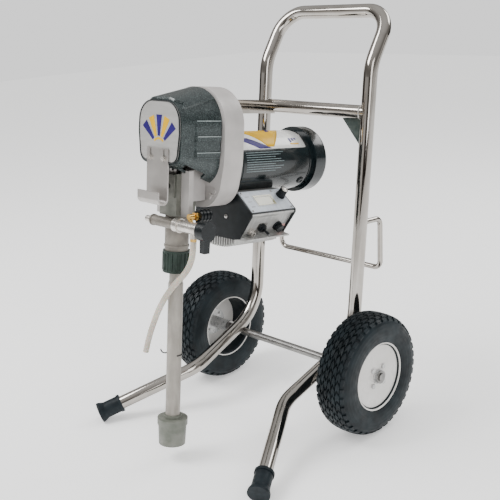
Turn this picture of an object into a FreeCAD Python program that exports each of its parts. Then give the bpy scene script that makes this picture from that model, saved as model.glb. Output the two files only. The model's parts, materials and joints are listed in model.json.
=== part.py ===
import FreeCAD, Part
import math
import os

os.makedirs("parts", exist_ok=True)

# Airless paint sprayer on a two-wheeled cart. Millimetres, +Z up, the pump faces -Y.
# The sprayer's own frame (u = X, v = rearward, w = up along the pump) leans back with the uprights.

# ---- driving dimensions: cart ----
TUBE_R = 15.875            # 1 1/4 in chromed tube
TUBE_WALL = 1.65
LEAN = 7.27                # degrees that the uprights lean back
UPRIGHT_X = 160.0          # half the spacing of the uprights
BOTTOM_Z = 181.8           # where the uprights bend into the legs
BOTTOM_Y = 54.9
HANDLE_BEND_Z = 805.6
HANDLE_TOP_Z = 918.6
HANDLE_RAKE = 33.75        # degrees that the handle leans back
KNEE = (146.0, -169.0, 102.0)
FOOT_END = (266.0, -378.0, 22.6)
BEND_KNEE_R = 90.0
BEND_BOTTOM_R = 120.0
BEND_HANDLE_R = 110.0
BEND_CORNER_R = 62.0
CROSS_Z = 702.5
CAP_R = 19.6
CAP_LIP_R = 24.0
CAP_LENGTH = 52.0

# ---- driving dimensions: wheels, 11 x 4.00-5 pneumatic ----
WHEEL_R = 139.5
WHEEL_X = 242.8
TYRE_HALF_W = 43.0
RIM_R = 79.0
RIM_DISC_X = 31.0          # outer disc face from the wheel's centre plane
AXLE_R = 9.5
HUB_R = 16.5
BOLT_PCD = 52.0
HUB_INNER_X = -36.0
HUB_OUTER_X = 38.0
WASHER_T = 2.5
WASHER_GAP = 0.3

# ---- driving dimensions: sprayer ----
SPRAYER_Y = -383.3         # where the pump's axis meets the floor
MOTOR_W = 645.0
MOTOR_R = 67.0
CAP_REAR_R = 75.0
MOTOR_FRONT_V = 102.0
MOTOR_REAR_V = 385.0
CRANK_W = 712.0
ECCENTRIC = 9.0
STROKE = 2.0 * ECCENTRIC
HOUSING_FRONT_V = 45.0
HOUSING_REAR_V = 92.0
COVER_FRONT_V = -50.0
PUMP_R = 25.0
BORE_R = 16.0
ROD_R = 9.0
MANIFOLD_V = -28.0
MANIFOLD_W = 530.0
HOSE_R = 6.35
HOSE_BORE_R = 4.75
BOX_FRONT_V = 110.0
BOX_REAR_V = 240.0
RUN_FIT = 0.05             # radial running clearance

# ---- gear train: crank gear <- layshaft pinion, layshaft gear <- motor pinion ----
SLOW_MODULE = 2.0
SLOW_GEAR_T = 42
SLOW_PINION_T = 14
FAST_MODULE = 1.25
FAST_GEAR_T = 56
FAST_PINION_T = 14
SLOW_CENTRE = SLOW_MODULE * (SLOW_GEAR_T + SLOW_PINION_T) / 2
FAST_CENTRE = FAST_MODULE * (FAST_GEAR_T + FAST_PINION_T) / 2
PRESSURE_ANGLE = math.radians(20.0)
BACKLASH = 0.16

V = FreeCAD.Vector
X, Y, Z = V(1, 0, 0), V(0, 1, 0), V(0, 0, 1)
nodes = {}


def cyl(r, length, base, axis=Z):
    return Part.makeCylinder(r, length, V(*base), V(*axis))


def ring(outer, inner, length, base, axis=Z):
    return cyl(outer, length, base, axis).cut(cyl(inner, length, base, axis))


def block(low, high):
    size = [h - l for l, h in zip(low, high)]
    return Part.makeBox(size[0], size[1], size[2], V(*low))


def prism(points, v0, v1):
    """A solid from an outline of (u, w) points, from v0 to v1."""
    wire = Part.makePolygon([V(u, v0, w) for u, w in points + points[:1]])
    return Part.Face(wire).extrude(V(0, v1 - v0, 0))


def rounded_wire(points, radii, v):
    """A closed outline of (u, w) corners at v, each rounded to its own radius."""
    corners = [V(u, v, w) for u, w in points]
    edges, ends = [], []
    count = len(corners)
    for i, corner in enumerate(corners):
        before = (corners[i - 1] - corner).normalize()
        after = (corners[(i + 1) % count] - corner).normalize()
        half = before.getAngle(after) / 2
        reach = radii[i] / math.tan(half)
        middle = (before + after).normalize() * (radii[i] / math.sin(half) - radii[i])
        start, end = corner + before * reach, corner + after * reach
        edges.append(Part.Arc(start, corner + middle, end).toShape())
        ends.append((start, end))
    lines = []
    for i in range(count):
        a, b = ends[i][1], ends[(i + 1) % count][0]
        lines.append(Part.LineSegment(a, b).toShape())
    ordered = [e for pair in zip(edges, lines) for e in pair]
    return Part.Wire(ordered)


def loft(front, rear):
    return Part.makeLoft([front, rear], True, True)


def path_wire(points, radii):
    """Straight runs joined by tangent arcs, one radius for each inner point."""
    pts = [V(*p) for p in points]
    edges, last = [], pts[0]
    for i in range(1, len(pts) - 1):
        before = (pts[i - 1] - pts[i]).normalize()
        after = (pts[i + 1] - pts[i]).normalize()
        half = before.getAngle(after) / 2
        reach = radii[i - 1] / math.tan(half)
        start, end = pts[i] + before * reach, pts[i] + after * reach
        middle = (before + after).normalize() * (radii[i - 1] / math.sin(half) - radii[i - 1])
        edges.append(Part.LineSegment(last, start).toShape())
        edges.append(Part.Arc(start, pts[i] + middle, end).toShape())
        last = end
    edges.append(Part.LineSegment(last, pts[-1]).toShape())
    return Part.Wire(edges)


def sweep(points, radii, outer, inner=0.0):
    path = path_wire(points, radii)
    direction = V(*points[1]) - V(*points[0])

    def pipe(r):
        circle = Part.Wire(Part.Circle(V(*points[0]), direction, r).toShape())
        return path.makePipeShell([circle], True, False)

    solid = pipe(outer)
    return solid.cut(pipe(inner)) if inner else solid


def hexagon(across, length, base, axis=Z):
    head = cyl(across / math.sqrt(3), length, base, axis)
    side = V(*axis).cross(X if abs(V(*axis).dot(X)) < 0.9 else Y).normalize()
    for k in range(6):
        turn = FreeCAD.Rotation(V(*axis), 60.0 * k)
        out = turn.multVec(side)
        cutter = Part.makeBox(across, across * 2, length * 3, V(across / 2, -across, -length))
        place = FreeCAD.Rotation(out, V(*axis).cross(out), V(*axis), "ZXY")
        cutter.Placement = FreeCAD.Placement(V(*base), place)
        head = head.cut(cutter)
    return head


def mirrored(shape):
    return shape.mirror(V(0, 0, 0), X)


def lean(shape):
    """From the sprayer's frame to the cart's."""
    moved = shape.copy()
    moved.rotate(V(0, 0, 0), X, -LEAN)
    moved.translate(V(0, SPRAYER_Y, 0))
    return moved


def add(name, shape, leaning=True):
    nodes[name] = lean(shape) if leaning else shape


def upright_y(z):
    return BOTTOM_Y + (z - BOTTOM_Z) * math.tan(math.radians(LEAN))


# ---- cart ----
def half_route(side):
    bend_y = upright_y(HANDLE_BEND_Z)
    top_y = bend_y + (HANDLE_TOP_Z - HANDLE_BEND_Z) * math.tan(math.radians(HANDLE_RAKE))
    return [
        (side * FOOT_END[0], FOOT_END[1], FOOT_END[2]),
        (side * KNEE[0], KNEE[1], KNEE[2]),
        (side * UPRIGHT_X, BOTTOM_Y, BOTTOM_Z),
        (side * UPRIGHT_X, bend_y, HANDLE_BEND_Z),
        (side * UPRIGHT_X, top_y, HANDLE_TOP_Z),
    ]


def make_main_tube():
    route = half_route(-1) + half_route(1)[::-1]
    bends = [BEND_KNEE_R, BEND_BOTTOM_R, BEND_HANDLE_R, BEND_CORNER_R]
    return sweep(route, bends + bends[::-1], TUBE_R, TUBE_R - TUBE_WALL)


def make_cross_tube(main_solid):
    span = 2 * UPRIGHT_X
    tube = ring(TUBE_R, TUBE_R - TUBE_WALL, span, (-UPRIGHT_X, upright_y(CROSS_Z), CROSS_Z), X)
    return tube.cut(main_solid)


def make_gusset(main_solid, cross_solid):
    side, depth, thick = 58.0, 62.0, 5.0
    y = upright_y(CROSS_Z)
    corner_x = UPRIGHT_X - TUBE_R + 1.5
    top = CROSS_Z - TUBE_R + 1.5
    points = [(corner_x, y, top), (corner_x - side, y, top), (corner_x, y, top - depth)]
    wire = Part.makePolygon([V(*p) for p in points + points[:1]])
    plate = Part.Face(wire).extrude(V(0, thick, 0))
    plate.translate(V(0, -thick / 2, 0))
    plate.rotate(V(0, y, top), X, -LEAN)
    return plate.cut(main_solid).cut(cross_solid)


ARM_HALF = 16.0
ARM_U = -143.0
ARM_W = 758.0
ARM_FRONT_V = 50.0
ARM_PLATE_U = -97.0


def make_mounting_arm(cross_solid, main_solid):
    """A square tube from the cross tube to a plate bolted to the housing's left flank."""
    outer = block((ARM_U - ARM_HALF, ARM_FRONT_V, ARM_W - ARM_HALF),
                  (ARM_U + ARM_HALF, 445.0, ARM_W + ARM_HALF))
    wall = 2.5
    inner = block((ARM_U - ARM_HALF + wall, ARM_FRONT_V + 2 * wall, ARM_W - ARM_HALF + wall),
                  (ARM_U + ARM_HALF - wall, 445.0, ARM_W + ARM_HALF - wall))
    plate = block((ARM_U + ARM_HALF, ARM_FRONT_V, ARM_W - 42), (ARM_PLATE_U, 92.0, ARM_W + ARM_HALF))
    flange = block((ARM_PLATE_U, ARM_FRONT_V, ARM_W - 58), (-84.0, 84.0, ARM_W - 10))
    housing = extrude_v(housing_outline(HOUSING_FRONT_V), HOUSING_REAR_V - HOUSING_FRONT_V)
    arm = lean(outer.cut(inner).fuse(plate).fuse(flange.cut(housing)).removeSplitter())
    rear_y = upright_y(CROSS_Z) + 40
    behind = block((-400, upright_y(CROSS_Z), 500), (400, rear_y + 200, 900))
    return arm.cut(behind).cut(cross_solid).cut(main_solid)


CORD_ROD_R = 6.35
CORD_TOP_Z = 455.0
CORD_LOW_Z = 328.0
CORD_Y = 163.0


def make_cord_rod(main_solid):
    inset = 4.0
    half = [(UPRIGHT_X, upright_y(CORD_TOP_Z) + inset, CORD_TOP_Z),
            (UPRIGHT_X, CORD_Y, CORD_TOP_Z - 4), (UPRIGHT_X, CORD_Y, CORD_LOW_Z)]
    route = [(-x, y, z) for x, y, z in half] + half[::-1]
    return sweep(route, [18.0] * 4, CORD_ROD_R).cut(main_solid)


def leg_direction(side):
    d = V(side * (FOOT_END[0] - KNEE[0]), FOOT_END[1] - KNEE[1], FOOT_END[2] - KNEE[2])
    return d.normalize()


def make_foot_cap(side):
    d = leg_direction(side)
    end = V(side * FOOT_END[0], FOOT_END[1], FOOT_END[2])
    tip, mouth = end + d * 5, end - d * CAP_LENGTH
    sleeve = cyl(CAP_R, CAP_LENGTH + 5, mouth, d)
    collar = cyl(CAP_R + 1.8, 7, mouth, d)
    flare = Part.makeCone(CAP_R, CAP_LIP_R, 12, tip - d * 17, d)
    lip = cyl(CAP_LIP_R, 5, tip - d * 5, d)
    cap = sleeve.fuse([collar, flare, lip]).removeSplitter()
    cap = cap.cut(cyl(TUBE_R, CAP_LENGTH, mouth, d))
    return cap.common(block((-900, -900, 0), (900, 900, 300)))


def make_axle():
    return cyl(AXLE_R, 2 * (WHEEL_X + 44), (-WHEEL_X - 44, 0, WHEEL_R), X)


def make_axle_washers():
    washers = []
    for side in (-1, 1):
        for offset in (HUB_INNER_X - WASHER_GAP - WASHER_T, HUB_OUTER_X + WASHER_GAP):
            start = side * (WHEEL_X + offset)
            washers.append(ring(15.0, AXLE_R, WASHER_T, (start, 0, WHEEL_R), V(side, 0, 0)))
    return Part.makeCompound(washers)


# ---- wheels ----
def revolve_x(points, centre_x):
    """Turn a closed outline of (x, r) about the axle line."""
    wire = Part.makePolygon([V(centre_x + x, 0, WHEEL_R + r) for x, r in points + points[:1]])
    return Part.Face(wire).revolve(V(0, 0, WHEEL_R), X, 360)


def make_tyre(side):
    w = TYRE_HALF_W
    outer = [(-w, 112), (-w + 1.5, 124), (-w + 8, 134), (-w + 20, 138.3), (0, WHEEL_R)]
    outer += [(-x, r) for x, r in outer[-2::-1]]
    lower = [(w - 1, 98), (w - 6, 86), (w - 9, RIM_R + 1.5), (w - 14, RIM_R + 1.5)]
    inner = [(w - 14, 92), (w - 9, 104), (w - 9, 118), (w - 16, 128), (0, 131)]
    profile = outer + lower + inner
    profile += [(-x, r) for x, r in inner[-2::-1]] + [(-x, r) for x, r in lower[::-1]]
    return revolve_x(profile, side * WHEEL_X)


def make_rim(side):
    """A pressed disc with a lip that seats the tyre's beads."""
    w = TYRE_HALF_W
    bead = RIM_R + 1.5
    points = [(-w + 6, bead + 3.5), (-w + 6, RIM_R - 3), (RIM_DISC_X - 5, RIM_R - 3),
              (RIM_DISC_X - 5, HUB_R), (RIM_DISC_X, HUB_R), (RIM_DISC_X, RIM_R - 6),
              (w - 6, RIM_R - 3), (w - 6, bead + 3.5), (w - 8.9, bead + 3.5), (w - 8.9, bead),
              (w - 14.5, bead - 0.4), (-w + 14.5, bead - 0.4), (-w + 8.9, bead),
              (-w + 8.9, bead + 3.5)]
    solid = revolve_x([(side * x, r) for x, r in points], side * WHEEL_X)
    tyre_room = nodes["tyre_right" if side > 0 else "tyre_left"]
    for x, y, z in bolt_centres(side):
        solid = solid.cut(cyl(3.05, 12, (x - 6, y, z), X))
    return solid.cut(tyre_room)


def bolt_centres(side):
    x = side * (WHEEL_X + RIM_DISC_X - 2.5)
    r = BOLT_PCD / 2
    turns = [math.radians(45 + 90 * k) for k in range(4)]
    return [(x, r * math.cos(t), WHEEL_R + r * math.sin(t)) for t in turns]


def make_hub(side):
    """A turned hub with a bolting flange, running on the axle."""
    inner_x, outer_x = HUB_INNER_X, HUB_OUTER_X
    face = RIM_DISC_X - 5
    points = [(inner_x, AXLE_R + RUN_FIT), (inner_x, HUB_R - 2), (face - 5, HUB_R - 2),
              (face - 5, BOLT_PCD / 2 + 8), (face, BOLT_PCD / 2 + 8), (face, HUB_R - 0.02),
              (RIM_DISC_X + 4, HUB_R - 0.02), (RIM_DISC_X + 4, HUB_R - 4), (outer_x, HUB_R - 4),
              (outer_x, AXLE_R + RUN_FIT)]
    hub = revolve_x([(side * x, r) for x, r in points], side * WHEEL_X)
    for x, y, z in bolt_centres(side):
        hub = hub.cut(cyl(3.05, 24, (x - 12, y, z), X))
    return hub


def make_hub_bolts(side):
    bolts = []
    outer = side * (WHEEL_X + RIM_DISC_X)
    for _, y, z in bolt_centres(side):
        stem = cyl(3.0, 14, (outer, y, z), (-side, 0, 0))
        head = hexagon(10.0, 4.0, (outer, y, z), (side, 0, 0))
        bolts.append(stem.fuse(head).removeSplitter())
    return Part.makeCompound(bolts)


# ---- gears ----
def involute_point(base_r, roll):
    return (base_r * (math.cos(roll) + roll * math.sin(roll)),
            base_r * (math.sin(roll) - roll * math.cos(roll)))


def gear(teeth, module, width, v0, centre, phase):
    """An involute spur gear about an axis along v; a tooth points at the phase angle."""
    pitch_r = module * teeth / 2
    base_r = pitch_r * math.cos(PRESSURE_ANGLE)
    tip_r, root_r = pitch_r + module, pitch_r - 1.25 * module
    start_r = max(base_r, root_r + 0.01)
    involute = math.tan(PRESSURE_ANGLE) - PRESSURE_ANGLE
    half_tooth = math.pi / 2 / teeth - BACKLASH / 2 / pitch_r + involute

    def place(r, angle):
        return V(centre[0] + r * math.cos(angle), v0, centre[1] + r * math.sin(angle))

    def flank(middle, side):
        spots = []
        for k in range(6):
            r = start_r + (tip_r - start_r) * k / 5
            roll = math.sqrt(max((r / base_r) ** 2 - 1, 0))
            px, py = involute_point(base_r, roll)
            spots.append(place(r, middle + side * (math.atan2(py, px) - half_tooth)))
        return spots

    edges = []
    for t in range(teeth):
        middle = math.radians(phase) + 2 * math.pi * t / teeth
        nxt = middle + 2 * math.pi / teeth
        low, high = flank(middle, 1), flank(middle, -1)[::-1]
        root_a = place(root_r, middle - half_tooth)
        root_b = place(root_r, middle + half_tooth)
        root_c = place(root_r, nxt - half_tooth)
        gap = place(root_r, (middle + nxt) / 2)
        edges.append(Part.LineSegment(root_a, low[0]).toShape())
        edges.append(curve(low))
        edges.append(Part.Arc(low[-1], place(tip_r, middle), high[0]).toShape())
        edges.append(curve(high))
        edges.append(Part.LineSegment(high[-1], root_b).toShape())
        edges.append(Part.Arc(root_b, gap, root_c).toShape())
    return Part.Face(Part.Wire(edges)).extrude(V(0, width, 0))


def curve(points):
    line = Part.BSplineCurve()
    line.interpolate(points)
    return line.toShape()


def mesh_phase(angle, teeth_a, phase_a, teeth_b):
    """The phase that puts gear b's gap on gear a's tooth, with b at this angle from a."""
    return angle + 180.0 + (angle - phase_a) * teeth_a / teeth_b + 180.0 / teeth_b


CRANK_C = (0.0, CRANK_W)
MOTOR_C = (0.0, MOTOR_W)
RISE = CRANK_W - MOTOR_W
LAY_UP = (FAST_CENTRE ** 2 - SLOW_CENTRE ** 2 + RISE ** 2) / (2 * RISE)
LAY_C = (math.sqrt(FAST_CENTRE ** 2 - LAY_UP ** 2), MOTOR_W + LAY_UP)
SLOW_V, SLOW_WIDTH = 58.0, 15.0
FAST_V, FAST_WIDTH = 77.0, 9.0
CRANK_SHAFT_R = 10.0
LAY_SHAFT_R = 6.0
LAY_ANGLE = math.degrees(math.atan2(LAY_C[1] - CRANK_W, LAY_C[0]))
MOTOR_ANGLE = math.degrees(math.atan2(MOTOR_W - LAY_C[1], -LAY_C[0]))
LAY_PHASE = mesh_phase(LAY_ANGLE, SLOW_GEAR_T, 0.0, SLOW_PINION_T)
PINION_PHASE = mesh_phase(MOTOR_ANGLE, FAST_GEAR_T, 0.0, FAST_PINION_T)
ALONG_V = (0, 1, 0)


def make_crank_gear():
    wheel = gear(SLOW_GEAR_T, SLOW_MODULE, SLOW_WIDTH, SLOW_V, CRANK_C, 0.0)
    wheel = wheel.cut(cyl(CRANK_SHAFT_R, 30, (0, SLOW_V - 5, CRANK_W), ALONG_V))
    for k in range(5):
        turn = 2 * math.pi * k / 5
        spot = (25 * math.cos(turn), SLOW_V - 5, CRANK_W + 25 * math.sin(turn))
        wheel = wheel.cut(cyl(7.0, 30, spot, ALONG_V))
    return wheel


def make_crankshaft():
    shaft = cyl(CRANK_SHAFT_R, 74.0, (0, 16, CRANK_W), ALONG_V)
    tail = cyl(8.0, 8.0, (0, 88, CRANK_W), ALONG_V)
    web = cyl(28.0, 7.0, (0, 15.2, CRANK_W), ALONG_V)
    pin = cyl(CRANK_SHAFT_R, 27.5, (0, -12, CRANK_W - ECCENTRIC), ALONG_V)
    keeper = cyl(12.5, 2.4, (0, -12, CRANK_W - ECCENTRIC), ALONG_V)
    return shaft.fuse([tail, web, pin, keeper]).removeSplitter()


def make_lay_shaft():
    pinion = gear(SLOW_PINION_T, SLOW_MODULE, SLOW_WIDTH, SLOW_V, LAY_C, LAY_PHASE)
    shaft = cyl(LAY_SHAFT_R, 46.0, (LAY_C[0], 50.2, LAY_C[1]), ALONG_V)
    wheel = gear(FAST_GEAR_T, FAST_MODULE, FAST_WIDTH, FAST_V, LAY_C, 0.0)
    return pinion.fuse([shaft, wheel]).removeSplitter()


def make_rotor_shaft():
    pinion = gear(FAST_PINION_T, FAST_MODULE, FAST_WIDTH, FAST_V, MOTOR_C, PINION_PHASE)
    neck = cyl(6.5, 8.0, (0, FAST_V + FAST_WIDTH, MOTOR_W), ALONG_V)
    shaft = cyl(8.0, 280.0, (0, 92.0, MOTOR_W), ALONG_V)
    return pinion.fuse([neck, shaft]).removeSplitter()


def make_armature():
    core = ring(47.0, 8.0, 140.0, (0, 150, MOTOR_W), ALONG_V)
    for k in range(12):
        turn = 2 * math.pi * k / 12
        spot = (45 * math.cos(turn), 149, MOTOR_W + 45 * math.sin(turn))
        core = core.cut(cyl(3.2, 142.0, spot, ALONG_V))
    windings = ring(36.0, 8.0, 168.0, (0, 136, MOTOR_W), ALONG_V)
    commutator = ring(20.0, 8.0, 26.0, (0, 304, MOTOR_W), ALONG_V)
    return core.fuse([windings, commutator]).removeSplitter()


# ---- gear housing, cover and motor ----
def housing_outline(v, grow=0.0):
    g = grow
    corners = [(-88 - g, 806 + g), (88 + g, 806 + g), (88 + g, 655), (70 + g, 559 - g),
               (-70 - g, 559 - g), (-88 - g, 655)]
    return rounded_wire(corners, [78 + g, 78 + g, 60 + g, 62 + g, 62 + g, 60 + g], v)


def extrude_v(wire, length):
    return Part.Face(wire).extrude(V(0, length, 0))


def bore_v(shape, r, centre, v0, v1):
    return shape.cut(cyl(r, v1 - v0, (centre[0], v0, centre[1]), ALONG_V))


def make_gear_housing():
    depth = HOUSING_REAR_V - HOUSING_FRONT_V
    body = extrude_v(housing_outline(HOUSING_FRONT_V), depth)
    body = body.cut(extrude_v(housing_outline(HOUSING_FRONT_V + 10, -6.0), depth))
    dish = extrude_v(housing_outline(HOUSING_FRONT_V - 1, -13.0), 5.0)
    low = block((-120, 0, 500), (120, 60, 606))
    body = body.cut(dish.common(low))
    body = bore_v(body, 22.0, CRANK_C, 40, 60)
    body = bore_v(body, 12.0, LAY_C, 47, 60)
    for side in (-1, 1):
        bar = block((26.3, -13.7, 545.0), (50.0, -2.0, 640.0))
        tie = block((26.3, -2.0, 575.0), (33.0, HOUSING_FRONT_V + 1, 640.0))
        rib = bar.fuse(tie)
        body = body.fuse(rib if side > 0 else mirrored(rib))
    for spot in ((-62, 596), (62, 596)):
        body = body.fuse(cyl(4.5, 3.0, (spot[0], 42.5, spot[1]), ALONG_V))
    return body.removeSplitter()


def cover_front_outline(v, inset=0.0):
    i = inset
    corners = [(-66 + i, 780 - i), (66 - i, 780 - i), (64 - i, 652 + i), (-64 + i, 652 + i)]
    return rounded_wire(corners, [48 - i, 48 - i, 22 - i, 22 - i], v)


def cover_rear_outline(v, inset=0.0):
    i = inset
    corners = [(-84 + i, 803 - i), (84 - i, 803 - i), (72 - i, 606 + i), (-72 + i, 606 + i)]
    return rounded_wire(corners, [76 - i, 76 - i, 56 - i, 56 - i], v)


def make_front_cover():
    shell = loft(cover_front_outline(COVER_FRONT_V), cover_rear_outline(HOUSING_FRONT_V))
    wall = 4.0
    cavity = loft(cover_front_outline(COVER_FRONT_V + wall, wall),
                  cover_rear_outline(HOUSING_FRONT_V + 0.01, wall))
    shell = shell.cut(cavity)
    shell = shell.cut(block((-31, -32, 590), (31, HOUSING_FRONT_V - 8, 664)))
    shell = shell.cut(block((-46, -14, 590), (46, HOUSING_FRONT_V + 2, 642)))
    for u, w in HOOK_SCREWS:
        shell = shell.cut(cyl(3.05, 20, (u, -60, w), ALONG_V))
    for side in (-1, 1):
        notch = block((38, -34, 600), (60, 20, 656))
        shell = shell.cut(notch if side > 0 else mirrored(notch))
    return max(shell.Solids, key=lambda s: s.Volume)


def plate_outline(v, inset=0.0):
    i = inset
    corners = [(-60 + i, 777 - i), (60 - i, 777 - i), (63 - i, 715), (56 - i, 657 + i),
               (-56 + i, 657 + i), (-63 + i, 715)]
    return rounded_wire(corners, [40, 40, 60, 20, 20, 60], v)


PLATE_T = 3.0
PLATE_FRONT_V = COVER_FRONT_V - PLATE_T
HOOK_T = 3.0
HOOK_HALF = 33.0
HOOK_TOP_W = 684.0
HOOK_LOW_W = 572.0
HOOK_GAP = 26.0
HOOK_LIP_W = 599.0
HOOK_SCREWS = ((-21.0, 664.0), (21.0, 664.0))


def make_front_plate():
    plate = extrude_v(plate_outline(PLATE_FRONT_V), PLATE_T)
    for u, w in HOOK_SCREWS:
        plate = plate.cut(cyl(3.05, 20, (u, -70, w), ALONG_V))
    return plate


def make_bucket_hook():
    """A bent strap: down the plate, forward under the handle's bail, and up to a lip."""
    back, front = PLATE_FRONT_V, PLATE_FRONT_V - HOOK_GAP
    bend = 12.0
    outline = [V(0, back, HOOK_TOP_W), V(0, back, HOOK_LOW_W + bend), V(0, back - bend, HOOK_LOW_W),
               V(0, front + bend, HOOK_LOW_W), V(0, front, HOOK_LOW_W + bend),
               V(0, front, HOOK_LIP_W)]
    k = bend * (1 - math.sqrt(0.5))
    lower_back = V(0, back - k, HOOK_LOW_W + k)
    lower_front = V(0, front + k, HOOK_LOW_W + k)
    outer = [Part.LineSegment(outline[0], outline[1]), Part.Arc(outline[1], lower_back, outline[2]),
             Part.LineSegment(outline[2], outline[3]), Part.Arc(outline[3], lower_front, outline[4]),
             Part.LineSegment(outline[4], outline[5])]
    route = Part.Wire([e.toShape() for e in outer])
    section = Part.makePolygon([V(-HOOK_HALF, back, HOOK_TOP_W), V(HOOK_HALF, back, HOOK_TOP_W),
                                V(HOOK_HALF, back - HOOK_T, HOOK_TOP_W),
                                V(-HOOK_HALF, back - HOOK_T, HOOK_TOP_W),
                                V(-HOOK_HALF, back, HOOK_TOP_W)])
    strap = route.makePipeShell([Part.Wire(section.Edges)], True, False)
    for u, w in HOOK_SCREWS:
        slot = block((u - 3.2, -80, w), (u + 3.2, -40, w + 16))
        slot = slot.fuse([cyl(3.2, 40, (u, -80, w), ALONG_V), cyl(3.2, 40, (u, -80, w + 16), ALONG_V)])
        strap = strap.cut(slot)
    return strap


def make_front_screws():
    face = PLATE_FRONT_V - HOOK_T
    screws = []
    for u, w in HOOK_SCREWS:
        head = hexagon(9.5, 5.0, (u, face - 5.0, w), ALONG_V)
        stem = cyl(3.0, 11.0, (u, face, w), ALONG_V)
        screws.append(head.fuse(stem).removeSplitter())
    return Part.makeCompound(screws)


def make_end_bell():
    disc = cyl(78.0, 10.0, (0, HOUSING_REAR_V, MOTOR_W), ALONG_V)
    plate = extrude_v(housing_outline(HOUSING_REAR_V), 6.0)
    bell = disc.fuse(plate)
    bell = bore_v(bell, 11.0, CRANK_C, 90, 96.5)
    bell = bore_v(bell, 12.0, LAY_C, 90, 96.5)
    return bore_v(bell, 17.5, MOTOR_C, 90, 120).removeSplitter()


def make_motor_can():
    can = ring(MOTOR_R, MOTOR_R - 4.0, 253.0, (0, MOTOR_FRONT_V, MOTOR_W), ALONG_V)
    for v in (120.0, 330.0):
        can = can.cut(ring(MOTOR_R + 1, MOTOR_R - 1.2, 3.0, (0, v, MOTOR_W), ALONG_V))
    return can


def make_motor_cap():
    front = 345.0
    length = MOTOR_REAR_V - front
    cap = cyl(CAP_REAR_R, length, (0, front, MOTOR_W), ALONG_V)
    cap = cap.makeFillet(9.0, [e for e in cap.Edges if abs(e.CenterOfMass.y - MOTOR_REAR_V) < 1
                               and len(e.Vertexes) == 1])
    cap = cap.cut(cyl(MOTOR_R, 10.0, (0, front, MOTOR_W), ALONG_V))
    cap = cap.cut(cyl(60.0, length - 6, (0, front, MOTOR_W), ALONG_V))
    for k in range(16):
        slot = block((36, 300, -3), (54, 400, 3))
        slot.rotate(V(0, 0, 0), Y, 22.5 * k)
        slot.translate(V(0, 0, MOTOR_W))
        cap = cap.cut(slot)
    hub = ring(20.0, 13.0, 14.0, (0, MOTOR_REAR_V - 20, MOTOR_W), ALONG_V)
    return cap.fuse(hub).removeSplitter()


def make_magnets():
    shell = ring(MOTOR_R - 4.0, 50.0, 150.0, (0, 145, MOTOR_W), ALONG_V)
    gap = block((-16, 100, MOTOR_W - 100), (16, 340, MOTOR_W + 100))
    return Part.makeCompound(shell.cut(gap).Solids)


def make_shaft_bearings():
    motor = [ring(17.5, 8.0 + RUN_FIT, 9.0, (0, 92.5, MOTOR_W), ALONG_V),
             ring(13.0, 8.0 + RUN_FIT, 6.0, (0, MOTOR_REAR_V - 20, MOTOR_W), ALONG_V)]
    crank = [ring(22.0, CRANK_SHAFT_R + RUN_FIT, 10.0, (0, 45.0, CRANK_W), ALONG_V),
             ring(11.0, 8.0 + RUN_FIT, 5.0, (0, 91.5, CRANK_W), ALONG_V)]
    lay = [ring(12.0, LAY_SHAFT_R + RUN_FIT, 4.0, (LAY_C[0], v, LAY_C[1]), ALONG_V)
           for v in (51.0, 92.2)]
    return Part.makeCompound(motor + crank + lay)


# ---- pump ----
PIN_W = 640.0
PIN_R = 4.0


def make_connecting_rod():
    top = CRANK_W - ECCENTRIC
    eye = cyl(20.0, 18.0, (0, -9, top), ALONG_V)
    shank = block((-11, -9, 670), (11, 9, top))
    yoke = block((-13, -14.5, 670), (13, 14.5, 680))
    rod = eye.fuse([shank, yoke])
    for v0 in (-14.5, 9.5):
        rod = rod.fuse(block((-11, v0, 632), (11, v0 + 5, 672)))
    rod = rod.cut(cyl(CRANK_SHAFT_R + RUN_FIT, 30, (0, -15, top), ALONG_V))
    rod = rod.cut(cyl(PIN_R + 0.3, 40, (0, -20, PIN_W), ALONG_V))
    return rod.removeSplitter()


def make_slider():
    guide = cyl(BORE_R, 27.0, (0, 0, 585))
    lug = block((-11.0, -8.5, 600), (11.0, 8.5, 650))
    return guide.fuse(lug).cut(cyl(ROD_R, 16.1, (0, 0, 584.9))).removeSplitter()


def make_piston_rod():
    rod = cyl(ROD_R, 121.0, (0, 0, 480))
    head = cyl(BORE_R - RUN_FIT, 14.0, (0, 0, 478))
    groove = ring(BORE_R + 1, BORE_R - 2, 3.0, (0, 0, 483.5))
    return rod.fuse(head).cut(groove).removeSplitter()


def make_pump_block():
    body = block((-26.2, -26, 545), (26.2, 26, 632))
    body = body.cut(cyl(BORE_R + RUN_FIT, 60, (0, 0, 580)))
    body = body.cut(cyl(ROD_R + 1.2, 60, (0, 0, 540)))
    plate = block((-22, -29, 584), (22, -25, 630))
    body = body.fuse(plate).removeSplitter()
    return body.cut(cyl(6.0, 12, (4, -32, 607), ALONG_V))


def make_pump_cylinder(manifold):
    body = ring(PUMP_R, BORE_R, 75.0, (0, 0, 470))
    head = ring(PUMP_R, ROD_R + 1.2, 8.0, (0, 0, 537))
    collar = ring(PUMP_R + 1.5, PUMP_R - 1, 4.0, (0, 0, 478))
    return body.fuse([head, collar]).cut(manifold).removeSplitter()


def make_packings():
    rings = [ring(BORE_R, ROD_R + RUN_FIT, 4.6, (0, 0, 516 + 5 * k)) for k in range(4)]
    return Part.makeCompound(rings)


def make_inlet_seat():
    seat = ring(22.0, 8.0, 8.0, (0, 0, 432))
    return seat.cut(Part.makeSphere(10.0, V(0, 0, 446)))


def make_inlet_ball():
    """The foot valve's ball, which lifts off its seat on the suction stroke."""
    return Part.makeSphere(9.7, V(0, 0, 446))


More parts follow.
